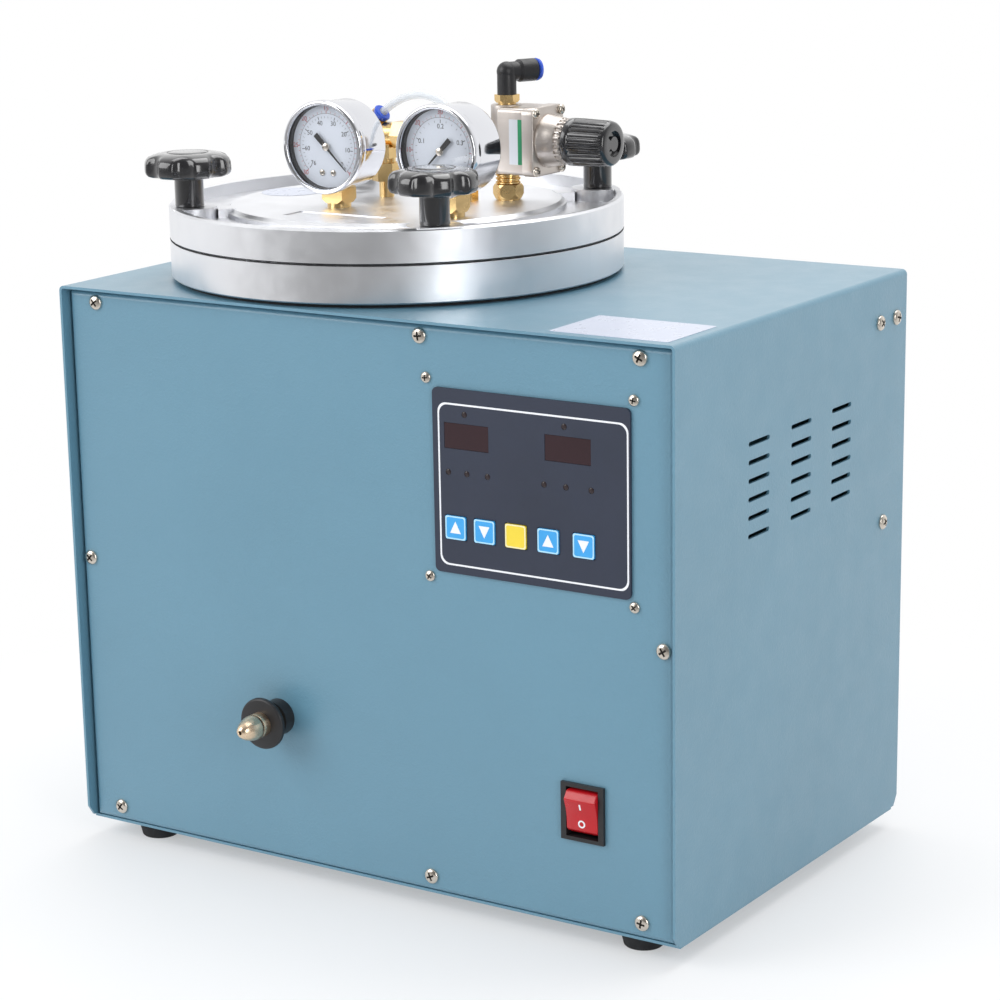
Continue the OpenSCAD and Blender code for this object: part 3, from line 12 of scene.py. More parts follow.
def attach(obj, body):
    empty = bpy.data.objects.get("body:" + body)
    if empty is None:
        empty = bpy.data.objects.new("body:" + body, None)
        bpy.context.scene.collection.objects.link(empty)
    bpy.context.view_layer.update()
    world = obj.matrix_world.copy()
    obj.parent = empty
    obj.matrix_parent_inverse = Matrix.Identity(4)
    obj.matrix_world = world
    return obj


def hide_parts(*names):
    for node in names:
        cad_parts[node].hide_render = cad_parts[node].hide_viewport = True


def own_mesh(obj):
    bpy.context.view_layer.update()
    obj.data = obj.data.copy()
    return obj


MM = 0.001
TAU = 2 * math.pi
BEHIND = (-0.57, 0.82, 0)  # from the camera over the object, level
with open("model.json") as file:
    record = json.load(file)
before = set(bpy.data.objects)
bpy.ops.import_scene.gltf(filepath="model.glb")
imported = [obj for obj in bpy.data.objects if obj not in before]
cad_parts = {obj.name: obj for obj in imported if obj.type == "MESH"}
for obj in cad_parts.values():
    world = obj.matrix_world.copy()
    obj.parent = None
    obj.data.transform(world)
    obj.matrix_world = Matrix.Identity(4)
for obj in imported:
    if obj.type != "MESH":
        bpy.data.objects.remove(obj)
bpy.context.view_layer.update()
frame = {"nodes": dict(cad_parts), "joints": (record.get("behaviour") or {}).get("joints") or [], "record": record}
NODES = frame["nodes"]
JOINTS = {j["name"]: j for j in frame["joints"]}


# ---------- node trees ----------

class Nodes:
    """A node tree, built one node at a time."""

    def __init__(self, tree):
        self.tree = tree

    def wire(self, source, target):
        self.tree.links.new(source, target)

    def node(self, kind, inputs, **settings):
        """Adds a node; each of its inputs gets a value, or another node's output."""
        made = self.tree.nodes.new(kind)
        for key, value in settings.items():
            setattr(made, key, value)
        for socket, value in inputs.items():
            if isinstance(value, bpy.types.NodeSocket):
                self.wire(value, made.inputs[socket])
            else:
                made.inputs[socket].default_value = value
        return made

    def calculate(self, operation, a, b):
        return self.node("ShaderNodeMath", {0: a, 1: b}, operation=operation).outputs[0]

    def spread(self, source, low, high, from_low=0.3, from_high=0.7):
        """Runs from low to high while source rises from from_low to from_high."""
        return self.node("ShaderNodeMapRange", {
            "Value": source, "From Min": from_low, "From Max": from_high,
            "To Min": low, "To Max": high}).outputs["Result"]

    def behind(self, place):
        """How far behind the object a place or a direction is, seen from the photograph's side."""
        return self.node("ShaderNodeVectorMath", {0: place, 1: BEHIND},
                         operation="DOT_PRODUCT").outputs["Value"]

    def rays(self):
        """Whether a ray comes from the camera, and whether it was mirrored or passed glass."""
        path = self.node("ShaderNodeLightPath", {}).outputs
        return path["Is Camera Ray"], self.calculate("MAXIMUM", path["Is Glossy Ray"],
                                                     path["Is Transmission Ray"])


# ---------- camera and light ----------

def make_camera():
    """The photograph's own camera: place, aim and roll from a fit to the cabinet's corners."""
    place = (0.8748, -1.30495, 0.5806)
    yaw, pitch, roll = (math.radians(a) for a in (-34.71, 14.98, -1.33))
    forward = Vector((math.sin(yaw) * math.cos(pitch), math.cos(yaw) * math.cos(pitch),
                      -math.sin(pitch)))
    level = Vector((math.cos(yaw), -math.sin(yaw), 0))
    upright = level.cross(forward)
    right = math.cos(roll) * level + math.sin(roll) * upright
    up = math.cos(roll) * upright - math.sin(roll) * level
    data = bpy.data.cameras.new("camera")
    data.sensor_width = 36
    data.lens = 104.5
    data.shift_x = 0.071
    data.shift_y = 0.0686
    data.clip_end = 50
    camera = bpy.data.objects.new("camera", data)
    camera.matrix_world = Matrix((
        (right.x, up.x, -forward.x, place[0]),
        (right.y, up.y, -forward.y, place[1]),
        (right.z, up.z, -forward.z, place[2]),
        (0, 0, 0, 1)))
    bpy.context.scene.collection.objects.link(camera)
    bpy.context.scene.camera = camera


def make_world(diffuse=0.62):
    """White to the eye. Reflections find it white behind the object and dim in front of it."""
    world = bpy.data.worlds.new("studio")
    bpy.context.scene.world = world
    world.use_nodes = True
    nodes = Nodes(world.node_tree)
    to_camera, mirrored = nodes.rays()
    direction = nodes.node("ShaderNodeTexCoord", {}).outputs["Generated"]
    shown = nodes.spread(nodes.behind(direction), 0.2, 1.0, -0.75, 0.45)
    light = nodes.node("ShaderNodeMix", {"Factor": mirrored, "A": diffuse, "B": shown})
    background = nodes.tree.nodes["Background"]
    background.inputs["Color"].default_value = (1, 1, 1, 1)
    nodes.wire(nodes.calculate("MAXIMUM", light.outputs["Result"], to_camera),
               background.inputs["Strength"])


def softbox(name, place, target, width, height, watts):
    """A rectangular lamp aimed at target."""
    data = bpy.data.lights.new(name, "AREA")
    data.shape = "RECTANGLE"
    data.size, data.size_y = width, height
    data.energy = watts
    lamp = bpy.data.objects.new(name, data)
    lamp.location = place
    aim = Vector(target) - Vector(place)
    lamp.rotation_mode = "QUATERNION"
    lamp.rotation_quaternion = aim.to_track_quat("-Z", "Y")
    bpy.context.scene.collection.objects.link(lamp)


# ---------- materials ----------

class Shader(Nodes):
    """A procedural material on a Principled surface."""

    def __init__(self, name, color, rough, metallic=0.0):
        self.material = bpy.data.materials.new(name)
        self.material.use_nodes = True
        super().__init__(self.material.node_tree)
        self.surface = self.tree.nodes["Principled BSDF"]
        self.color = color
        self.set("Base Color", (*color, 1))
        self.set("Roughness", rough)
        self.set("Metallic", metallic)
        self.place = self.node("ShaderNodeTexCoord", {}).outputs["Object"]
        self.relief = None

    def set(self, socket, value):
        self.surface.inputs[socket].default_value = value

    def noise(self, scale, detail=2.0):
        return self.node("ShaderNodeTexNoise", {
            "Vector": self.place, "Scale": scale, "Detail": detail}).outputs["Fac"]

    def cells(self, scale):
        return self.node("ShaderNodeTexVoronoi", {
            "Vector": self.place, "Scale": scale}).outputs["Distance"]

    def vary(self, source, color, from_low=0.3, from_high=0.7):
        """Runs the base colour from the material's own to color as source rises."""
        mix = self.node("ShaderNodeMix", {
            "A": (*self.color, 1), "B": (*color, 1),
            "Factor": self.spread(source, 0, 1, from_low, from_high)}, data_type="RGBA")
        self.wire(mix.outputs["Result"], self.surface.inputs["Base Color"])

    def shade(self, source, share):
        """Darkens the base colour in places by that share."""
        self.vary(source, [c * (1 - share) for c in self.color], 0.35, 0.75)

    def roughen(self, source, low, high):
        """Runs the roughness from low to high as source rises."""
        self.wire(self.spread(source, low, high), self.surface.inputs["Roughness"])

    def bump(self, source, depth):
        """Adds relief of that depth, in metres, over any relief before it."""
        inputs = {"Height": source, "Distance": depth}
        if self.relief is not None:
            inputs["Normal"] = self.relief
        self.relief = self.node("ShaderNodeBump", inputs).outputs["Normal"]
        self.wire(self.relief, self.surface.inputs["Normal"])


def powder_coat(name, color):
    s = Shader(name, color, 0.42)
    s.shade(s.noise(9, 3), 0.05)
    s.roughen(s.noise(60, 3), 0.38, 0.5)
    s.bump(s.noise(700, 1.5), 0.00022)
    s.bump(s.cells(1500), 0.00005)
    s.set("Coat Weight", 0.7)
    s.set("Coat Roughness", 0.3)
    return s.material


def satin_metal(name, color, low, high, grain=2600, depth=0.00002):
    s = Shader(name, color, low, 1.0)
    s.shade(s.noise(14, 3), 0.08)
    s.roughen(s.noise(90, 4), low, high)
    s.bump(s.noise(grain), depth)
    return s.material


def moulded(name, color, low, high, grain=900, depth=0.00002, tint=0.12):
    s = Shader(name, color, low)
    s.shade(s.noise(40, 3), tint)
    s.roughen(s.noise(160, 3), low, high)
    s.bump(s.noise(grain), depth)
    return s.material


def lacquered(material):
    """Adds a polished skin over a moulding."""
    surface = material.node_tree.nodes["Principled BSDF"]
    surface.inputs["Coat Weight"].default_value = 1.0
    surface.inputs["Coat Roughness"].default_value = 0.1
    return material


def clear(name, color, alpha, rough, metallic=0.0):
    s = Shader(name, color, rough, metallic)
    s.roughen(s.noise(120), rough, rough * 2)
    s.set("Alpha", alpha)
    return s.material


def felt(name, color):
    s = Shader(name, color, 0.95)
    s.shade(s.noise(400, 6), 0.3)
    s.bump(s.noise(900, 8), 0.0006)
    return s.material


def circuit(name, color):
    s = Shader(name, color, 0.35)
    s.vary(s.noise(350, 1), [c * 2.2 for c in color], 0.52, 0.54)
    s.roughen(s.noise(90), 0.3, 0.45)
    return s.material


def wound_core(name, color):
    s = Shader(name, color, 0.5, 0.6)
    sheets = s.node("ShaderNodeTexWave", {"Vector": s.place, "Scale": 400}).outputs["Fac"]
    s.vary(sheets, [c * 0.6 for c in color])
    s.bump(sheets, 0.0002)
    return s.material


LOOKS = {
    "teal_coat": powder_coat("teal_powder_coat", (0.119, 0.268, 0.366)),
    "zinc_steel": satin_metal("zinc_plate", (0.62, 0.64, 0.66), 0.3, 0.45, 1200, 0.00004),
    "screw_steel": satin_metal("nickel_plate", (0.72, 0.66, 0.58), 0.16, 0.28, 1800, 0.00001),
    "spring_steel": satin_metal("spring_wire", (0.55, 0.55, 0.56), 0.2, 0.35),
    "foot_rubber": moulded("foot_rubber", (0.018, 0.018, 0.020), 0.7, 0.85, 1500, 0.00006),
    "fascia_slate": moulded("fascia_film", (0.026, 0.034, 0.060), 0.42, 0.55, 2600, 0.00002),
    "window_black": moulded("smoked_window", (0.030, 0.012, 0.016), 0.12, 0.18),
    "lamp_red": moulded("lamp_off", (0.030, 0.020, 0.022), 0.15, 0.25),
    "board_green": circuit("circuit_board", (0.02, 0.12, 0.05)),
    "key_blue": moulded("key_blue", (0.045, 0.36, 0.78), 0.32, 0.42, 1500, 0.00001, 0.05),
    "key_yellow": moulded("key_yellow", (0.86, 0.66, 0.05), 0.32, 0.42, 1500, 0.00001, 0.05),
    "black_plastic": lacquered(moulded("black_phenolic", (0.012, 0.012, 0.014), 0.16, 0.24, 300,
                                       0.00003)),
    "rocker_red": moulded("rocker_red", (0.50, 0.008, 0.014), 0.2, 0.28, 300, 0.00001),
    "brass": satin_metal("turned_brass", (0.80, 0.56, 0.25), 0.16, 0.30, 1500, 0.00002),
    "cast_aluminium": satin_metal("blasted_aluminium", (0.84, 0.85, 0.88), 0.30, 0.42, 3000,
                                  0.00003),
    "gasket_black": moulded("gasket", (0.012, 0.012, 0.014), 0.6, 0.8),
    "seal_red": moulded("silicone_seal", (0.45, 0.08, 0.03), 0.5, 0.65),
    "heater_band": satin_metal("heater_sheath", (0.50, 0.46, 0.38), 0.35, 0.5),
    "insulation_felt": felt("glass_felt", (0.78, 0.76, 0.70)),
    "pump_grey": moulded("pump_paint", (0.09, 0.095, 0.105), 0.35, 0.5, 700, 0.00005),
    "core_steel": wound_core("laminated_core", (0.30, 0.29, 0.28)),
    "valve_alloy": satin_metal("valve_alloy", (0.42, 0.43, 0.46), 0.3, 0.45),
    "inlet_black": moulded("inlet_black", (0.016, 0.016, 0.017), 0.4, 0.55),
    "chrome": satin_metal("chrome_plate", (0.82, 0.83, 0.87), 0.05, 0.10, 40, 0.00001),
    "dial_white": moulded("dial_enamel", (0.72, 0.77, 0.86), 0.3, 0.4, 900, 0.000005, 0.03),
    "gauge_glass": clear("gauge_lens", (1, 1, 1), 0.04, 0.03, 1.0),
    "pointer_black": moulded("pointer_paint", (0.012, 0.012, 0.013), 0.3, 0.4),
    "collet_blue": moulded("collet_blue", (0.030, 0.10, 0.62), 0.16, 0.26),
    "clear_tube": clear("polyurethane", (0.86, 0.90, 0.94), 0.42, 0.10),
    "taupe_zinc": satin_metal("champagne_coat", (0.60, 0.55, 0.51), 0.30, 0.42, 1600, 0.00004),
}
PRINT_WHITE = moulded("print_white", (0.82, 0.84, 0.88), 0.45, 0.55, 1800, 0.00001, 0.03)
PRINT_BLACK = moulded("print_black", (0.02, 0.02, 0.022), 0.45, 0.55, 1800, 0.00001, 0.03)
PRINT_RED = moulded("print_red", (0.52, 0.05, 0.06), 0.45, 0.55, 1800, 0.00001, 0.03)
PRINT_PALE = moulded("print_pale_blue", (0.42, 0.72, 0.90), 0.4, 0.5, 1800, 0.00001, 0.03)
PRINT_GREEN = moulded("print_green", (0.02, 0.28, 0.12), 0.4, 0.5, 1800, 0.00001, 0.03)
PRINT_CREAM = moulded("print_cream", (0.86, 0.80, 0.45), 0.4, 0.5, 1800, 0.00001, 0.03)
# painted shade: inside each screw's cross recess, the head's own metal coloured dark for the shade in it
PAINTED_RECESS_SHADE = moulded("screw_recess_painted_shade", (0.05, 0.045, 0.04), 0.5, 0.6)
PLATE_WHITE = moulded("plate_film", (0.56, 0.60, 0.71), 0.25, 0.35, 1800, 0.00001, 0.03)
FOIL = satin_metal("label_foil", (0.70, 0.73, 0.78), 0.35, 0.45)
NOZZLE_BRASS = satin_metal("nozzle_brass", (0.88, 0.68, 0.48), 0.22, 0.34, 1500, 0.00002)
DULL_BLACK = moulded("black_nylon", (0.016, 0.016, 0.018), 0.34, 0.46, 1400, 0.00003)

SLOT_OF = {s["node"]: s["material_slot"] for s in frame["record"]["subparts"]}
DULL_NODES = ("nozzle_bush", "nozzle_disc", "switch_housing", "elbow")
for node_name, node_object in NODES.items():
    node_look = DULL_BLACK if node_name in DULL_NODES else LOOKS[SLOT_OF[node_name]]
    node_object.data.materials.clear()
    node_object.data.materials.append(node_look)


# ---------- mesh code ----------

def place_at(pos, out, up):
    """A frame in mm at pos: its z runs out of the surface and its y is up on it."""
    z = Vector(out).normalized()
    x = Vector(up).cross(z).normalized()
    y = z.cross(x)
    return Matrix(((x.x, y.x, z.x, pos[0]), (x.y, y.y, z.y, pos[1]), (x.z, y.z, z.z, pos[2]),
                   (0, 0, 0, 1)))


def move(x, y, z):
    return Matrix.Translation((x, y, z))


def turn(degrees, axis="Z"):
    return Matrix.Rotation(math.radians(degrees), 4, axis)


class Shape:
    """A piece of the object, gathered from parts given in mm."""

    def __init__(self, name):
        self.name = name
        self.points, self.faces, self.marks, self.looks = [], [], [], []

    def add(self, points, faces, look, at=Matrix.Identity(4)):
        if look not in self.looks:
            self.looks.append(look)
        start = len(self.points)
        self.points += [at @ Vector(p) for p in points]
        flip = at.determinant() < 0
        for face in faces:
            face = [start + i for i in face]
            self.faces.append(face[::-1] if flip else face)
            self.marks.append(self.looks.index(look))
        return self

    def rings(self, rings, look, at=Matrix.Identity(4), ends=True, loop=False):
        """Skins closed rings of equally many points; ends closes the first and the last."""
        n = len(rings[0])
        points = [p for ring in rings for p in ring]
        pairs = [(i, i + 1) for i in range(len(rings) - 1)]
        if loop:
            pairs.append((len(rings) - 1, 0))
        faces = [[a * n + k, a * n + (k + 1) % n, b * n + (k + 1) % n, b * n + k]
                 for a, b in pairs for k in range(n)]
        if ends and not loop:
            faces += [list(range(n))[::-1], [(len(rings) - 1) * n + k for k in range(n)]]
        return self.add(points, faces, look, at)

    def revolve(self, profile, look, at=Matrix.Identity(4), steps=96, form=None, loop=False):
        """Turns a profile of (radius, height), from low to high outside, about z."""
        form = form or (lambda angle, r, z: (r, z))
        rings = []
        for r, z in profile:
            ring = []
            for k in range(steps):
                angle = TAU * k / steps
                radius, height = form(angle, r, z)
                ring.append((radius * math.cos(angle), radius * math.sin(angle), height))
            rings.append(ring)
        return self.rings(rings, look, at, ends=not loop, loop=loop)

    def plate(self, outline, low, high, look, at=Matrix.Identity(4), edge=0.0):
        """An outline with thickness; edge rounds its upper rim."""
        middle = np.mean(np.array(outline), axis=0)
        rings = [[(x, y, low) for x, y in outline]]
        steps = 3 if edge else 0
        for i in range(steps + 1):
            angle = math.pi / 2 * i / steps if steps else 0
            inset, down = edge * (1 - math.cos(angle)), edge * (1 - math.sin(angle))
            ring = []
            for x, y in outline:
                d = np.array((x, y)) - middle
                reach = np.abs(d).max() or 1
                x2, y2 = middle + d * (1 - inset / reach)
                ring.append((x2, y2, high - down))
            rings.append(ring)
        return self.rings(rings, look, at)

    def flat(self, outline, z, look, at=Matrix.Identity(4)):
        return self.add([(x, y, z) for x, y in outline], [list(range(len(outline)))], look, at)

    def numerals(self, text, height, look, at):
        points, faces = numeral_mesh(text)
        return self.add([(x * height, y * height, 0) for x, y in points], faces, look, at)

    def finish(self, body, slot=None, replaces=(), sharp=35):
        mesh = bpy.data.meshes.new(self.name)
        mesh.from_pydata([tuple(p * MM) for p in self.points], [], self.faces)
        for look in self.looks:
            mesh.materials.append(look)
        mesh.polygons.foreach_set("material_index", self.marks)
        tidy = bmesh.new()
        tidy.from_mesh(mesh)
        bmesh.ops.remove_doubles(tidy, verts=tidy.verts, dist=1e-7)
        bmesh.ops.dissolve_degenerate(tidy, edges=tidy.edges, dist=1e-7)
        tidy.to_mesh(mesh)
        tidy.free()
        mesh.shade_smooth()
        mesh.set_sharp_from_angle(angle=math.radians(sharp))
        piece = bpy.data.objects.new(self.name, mesh)
        bpy.context.scene.collection.objects.link(piece)
        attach(piece, body)
        if replaces:
            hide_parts(*replaces)
        return piece


NUMERALS = {}  # the numbers made so far
NUMERAL_HEIGHT = 0.7  # of a number in Blender's own font at size 1


def numeral_mesh(text):
    """The outline of a plain number in Blender's own font, one unit high and centred."""
    if text not in NUMERALS:
        curve = bpy.data.curves.new("numeral", "FONT")
        curve.body = text
        curve.align_x = "CENTER"
        curve.align_y = "CENTER"
        curve.resolution_u = 3
        holder = bpy.data.objects.new("numeral", curve)
        bpy.context.scene.collection.objects.link(holder)
        mesh = bpy.data.meshes.new_from_object(
            holder.evaluated_get(bpy.context.evaluated_depsgraph_get()))
        NUMERALS[text] = ([(v.co.x / NUMERAL_HEIGHT, v.co.y / NUMERAL_HEIGHT)
                           for v in mesh.vertices], [list(p.vertices) for p in mesh.polygons])
        bpy.data.objects.remove(holder)
        bpy.data.curves.remove(curve)
        bpy.data.meshes.remove(mesh)
    return NUMERALS[text]


def round_outline(width, height, r, steps=6):
    """A rectangle about the origin with corners of radius r."""
    points = []
    for cx, cy, start in ((1, 1, 0), (-1, 1, 90), (-1, -1, 180), (1, -1, 270)):
        for k in range(steps + 1):
            a = math.radians(start + 90 * k / steps)
            points.append((cx * (width / 2 - r) + r * math.cos(a),
                           cy * (height / 2 - r) + r * math.sin(a)))
    return points


def frame_line(shape, width, height, r, line, z, look, at):
    """Prints a rounded rectangular line of that breadth."""
    outer = round_outline(width, height, r)
    inner = [(x * (1 - line / (width / 2)), y * (1 - line / (height / 2))) for x, y in outer]
    n = len(outer)
    points = [(x, y, z) for x, y in outer + inner]
    faces = [[k, (k + 1) % n, n + (k + 1) % n, n + k] for k in range(n)]
    shape.add(points, faces, look, at)


def soft_min(a, b, k):
    """The lower of two, rounded off within about k."""
    low = min(a, b)
    return low - k * math.log(math.exp(-(a - low) / k) + math.exp(-(b - low) / k))


def joint_place(name):
    """A joint's anchor in mm."""
    return [v / MM for v in JOINTS[name]["pos_m"]]


# places of the CAD model in mm
BACK, FRONT, UP = (0, 1, 0), (0, -1, 0), (0, 0, 1)
POT = (-56.0, 15.25)
LID_TOP, LID_MID = 363.3, 361.5
FLANGE_R, FLANGE_TOP = 126.4, 344.8
COVER_TOP, COVER_SIDE = 322, 195
PANEL_FRONT, PANEL_REAR = -107.75, 138.25
FASCIA_FRONT, KEY_FRONT, KEY_LEVEL = -109.25, -110.05, 215.5
NOZZLE = (-56, 94)
REGULATOR = (0.3, 43.25)
REGULATOR_LOW, REGULATOR_MID, REGULATOR_HIGH = 376.5, 395.25, 414.0
BONNET_AT, GRIP_AT = 26.5, 41.3  # to the right of the regulator's axis
VENT, VENT_AXIS, VENT_ARM = (-13.4, 10), 35, 15  # from the pot's axis and the lid
TUBE_SOCKET, TUBE_SOCKET_TOP = (38, 14), 22  # the same


# ---------- screws ----------

def cross_screw(shape, at, r, h, look):
    """A domed head with a cross recess coloured dark as painted shade; its seat is at z = 0."""
    arm, half = r * 0.56, r * 0.13
    corner = math.atan2(half, arm)
    steps = [0, corner / 2, corner, corner + 0.02, (corner + math.pi / 4) / 2, math.pi / 4 - 0.02]
    angles = []
    for quarter in range(4):
        base = quarter * math.pi / 2
        angles += [base + s for s in steps] + [base + math.pi / 4]
        angles += [base + math.pi / 2 - s for s in steps[:0:-1]]

    def cross(angle):
        """The recess's reach at that angle."""
        a = abs((angle + math.pi / 4) % (math.pi / 2) - math.pi / 4)
        return min(arm / math.cos(a), half / math.sin(a) if a > 1e-6 else arm)

    def dome(d):
        """The head's height at that distance from its axis."""
        return h * math.sqrt(max(0.0, 1 - (d / r * 0.93) ** 2.6))

    rings = [[(d * math.cos(a), d * math.sin(a), z) for a in angles]
             for d, z in ((r * 0.98, 0), (r, h * 0.12), (r, h * 0.34), (r * 0.95, dome(r * 0.95)),
                          (r * 0.85, dome(r * 0.85)), (r * 0.72, dome(r * 0.72)),
                          (r * 0.62, dome(r * 0.62)))]
    outer_rings = len(rings)
    for share, z in ((1, dome), (0.86, lambda d: dome(d) - h * 0.35), (0.5, lambda d: h * 0.3)):
        rings.append([(cross(a) * share * math.cos(a), cross(a) * share * math.sin(a), z(cross(a)))
                      for a in angles])
    first = len(shape.faces) + outer_rings * len(angles)  # past the dome and the recess's rim
    shape.rings(rings, look, at)
    # the recess's faces take the painted shade colour in place of the head's metal
    if PAINTED_RECESS_SHADE not in shape.looks:
        shape.looks.append(PAINTED_RECESS_SHADE)
    for k in list(range(first, len(shape.faces) - 2)) + [len(shape.faces) - 1]:
        shape.marks[k] = shape.looks.index(PAINTED_RECESS_SHADE)


def make_screws():
    """Every cabinet screw, in its node's places."""
    shape = Shape("cabinet_screws")
    look = LOOKS["screw_steel"]
    spin = 17
    spin_step = 37  # no two heads stop at the same turn
    large, small = (4.2, 2.4), (3, 1.9)
    panel_places = [(x, z) for x in (-173, 43, 173) for z in (20.5, 313.5)]
    panel_places += [(-186, 167), (186, 167)]
    side_places = ((110.25, 297.4), (130.25, 297.4), (117.25, 185))
    fascia_places = [(x, z) for x in (46.6, 169.4) for z in (187.3, 292.2)]
    inlet_x, inlet_y, inlet_z, ear = 120, 140.75, 52, 20
    foot_x, foot_ys, foot_z = 162, (-87.75, 118.25), 4
    for x, z in panel_places:
        for pos, out in (((x, PANEL_FRONT, z), FRONT), ((x, PANEL_REAR, z), BACK)):
            spin += spin_step
            cross_screw(shape, place_at(pos, out, UP) @ turn(spin), *large, look)
    for side in (-1, 1):
        for y, z in side_places:
            spin += spin_step
            at = place_at((side * COVER_SIDE, y, z), (side, 0, 0), UP)
            cross_screw(shape, at @ turn(spin), *large, look)
        inlet = place_at((inlet_x + side * ear, inlet_y, inlet_z), BACK, UP)
        cross_screw(shape, inlet @ turn(31), *small, look)
        for y in foot_ys:
            foot = place_at((side * foot_x, y, foot_z), (0, 0, -1), BACK)
            cross_screw(shape, foot @ turn(12), *large, look)
    for x, z in fascia_places:
        spin += spin_step
        at = place_at((x, PANEL_FRONT, z), FRONT, UP)
        cross_screw(shape, at @ turn(spin), *small, look)
    shape.finish("cabinet", "screw_steel", ["pan_head_screws"], 30)


# ---------- star knobs ----------

def make_star_knobs():
    """Four lobed knobs, each a stack of rings from its blind bore round to its crown."""
    lobes, scallop_at, scallop_r = 7, 28.56, 8.16
    look = LOOKS["black_plastic"]

    def scallop(angle):
        """How far out the nearest scallop begins at that angle."""
        a = ((angle * lobes / TAU) % 1 - 0.5) * TAU / lobes
        reach = scallop_r ** 2 - (scallop_at * math.sin(a)) ** 2
        return scallop_at * math.cos(a) - math.sqrt(reach) if reach > 0 else math.inf

    # (radius, height, how far the scallops cut deeper there, or None where they don't)
    rows = [(0, 12, None), (3.95, 12, None), (3.95, 0.5, None), (4.4, 0, None), (7.5, 0, None),
            (7.9, 0.3, None), (8, 0.8, None), (8, 14.6, None), (8.2, 15.6, None),
            (9.2, 16.4, None), (12, 16.6, None), (17, 16.7, None), (20.8, 16.9, 1.6),
            (22.6, 17.5, 0.8), (23.6, 18.6, 0.25), (24, 20, 0), (24, 21.8, 0), (23.9, 23.6, 0),
            (23.6, 25.2, 0.15), (22.9, 26.6, 0.5), (21.6, 27.7, 1.1), (19.6, 28.5, 1.9),
            (17.2, 29.1, 2.6), (14.6, 29.5, 3.0), (12.3, 29.7, None), (11.5, 29.55, None),
            (11.2, 29.1, None), (10.9, 29.1, None), (10.7, 29.6, None), (10.3, 29.85, None),
            (6, 29.95, None), (0, 30, None)]
    steps = 196
    for number, spin in enumerate((135, -135, -45, 45), 1):
        x, y, _ = joint_place(f"knob_{number}_turn")
        at = move(x, y, LID_TOP + 0.1) @ turn(spin)
        rings = []
        for r, z, deeper in rows:
            ring = []
            for k in range(steps):
                angle = TAU * k / steps
                radius = r if deeper is None else soft_min(r, scallop(angle) - deeper, 0.35)
                ring.append((radius * math.cos(angle), radius * math.sin(angle), z))
            rings.append(ring)
        Shape(f"star_knob_skin_{number}").rings(rings, look, at).finish(
            f"knob_{number}", "black_plastic", [f"star_knob_{number}"], 50)


# ---------- gauges ----------

def gauge_frame(number):
    """A frame on a gauge's axis in its bezel's plane, z towards whoever reads it."""
    name = ("vacuum_reading", "pressure_reading")[number]
    turned = math.radians((2, 0)[number])
    ahead = 16  # from the needle's joint
    x, y, z = joint_place(name)
    out = (math.sin(turned), -math.cos(turned), 0)
    return place_at((x + ahead * out[0], y + ahead * out[1], z), out, UP)


def make_gauge_cases():
    """Both chromed cases, each with its bezel's rolled rim."""
    cases = Shape("gauge_shells")
    chrome = LOOKS["chrome"]
    for number in (0, 1):
        at = gauge_frame(number)
        cases.revolve([(0, -28), (9.2, -28), (9.6, -27.8), (10, -28), (22, -28), (23.2, -27.8),
                       (24.0, -27.2), (24.3, -26.2), (24.3, -7.8), (24.35, -6.8), (24.6, -6.2),
                       (25.3, -5.8), (25.5, -5.2), (25.5, -1.6), (25.35, -0.8), (24.95, -0.25),
                       (24.3, 0), (23.6, -0.05), (23.0, -0.35), (22.7, -0.9), (22.7, -1.45),
                       (23.3, -1.45), (23.3, -25.6), (21.9, -27), (0, -27)], chrome, at, 128)
    cases.finish("lid_assembly", "chrome", ["gauge_cases"], 40)


def make_dials():
    """Both dials' scales, numbers, dark linings and screws."""
    prints = Shape("dial_prints")
    metal = Shape("dial_screws")
    scales = (
        {"outer": ["0", "5", "10", "15", "20", "25", "30"],
         "inner": ["0", "10", "20", "30", "40", "50", "60", "76"], "zero": -45, "way": 1},
        {"outer": ["0", "10", "20", "30", "40", "50", "60"],
         "inner": ["0", "0.1", "0.2", "0.3", "0.4"], "zero": 225, "way": -1})
    numeral_height, dial_depth = 2.5, 5.93
    sweep, split = 270, 5
    arc_radii, arc_steps = (17.9, 18.06), 90
    for number, scale in enumerate(scales):
        at = gauge_frame(number) @ move(0, 0, -dial_depth)

        def tick(share, low, high, width, look):
            angle = math.radians(scale["zero"] + scale["way"] * sweep * share)
            prints.flat([(low, -width / 2), (high, -width / 2), (high, width / 2),
                         (low, width / 2)], 0, look, at @ turn(math.degrees(angle)))
            return angle

        for labels, radius, low, high, look in (
                (scale["outer"], 20.7, 18.2, 19.4, PRINT_RED),
                (scale["inner"], 13.2, 15.4, 16.6, PRINT_BLACK)):
            last = len(labels) - 1
            for i, label in enumerate(labels):
                angle = tick(i / last, low - 0.4, high + 0.2, 0.34, look)
                prints.numerals(label, numeral_height, look,
                                at @ move(radius * math.cos(angle), radius * math.sin(angle), 0))
            for i in range(last * split):
                if i % split:
                    tick(i / (last * split), low, high - 0.2, 0.18, look)
        prints.revolve([(22.2, 0.03), (23.1, 0.03), (23.1, 3.2), (22.5, 3.2)], DULL_BLACK, at, 96,
                       loop=True)
        turns = [math.radians(-45 + sweep * k / arc_steps) for k in range(arc_steps + 1)]
        arc = [(r * math.cos(a), r * math.sin(a), 0) for r in arc_radii for a in turns]
        prints.add(arc, [[k, arc_steps + 1 + k, arc_steps + 2 + k, k + 1]
                         for k in range(arc_steps)], PRINT_BLACK, at)
        for side in (-1, 1):
            cross_screw(metal, at @ move(side * 3.6, -14.2, 0.05) @ turn(20 * side), 1.7, 0.7,
                        LOOKS["screw_steel"])
    prints.finish("lid_assembly", "dial_white")
    metal.finish("lid_assembly", "screw_steel")


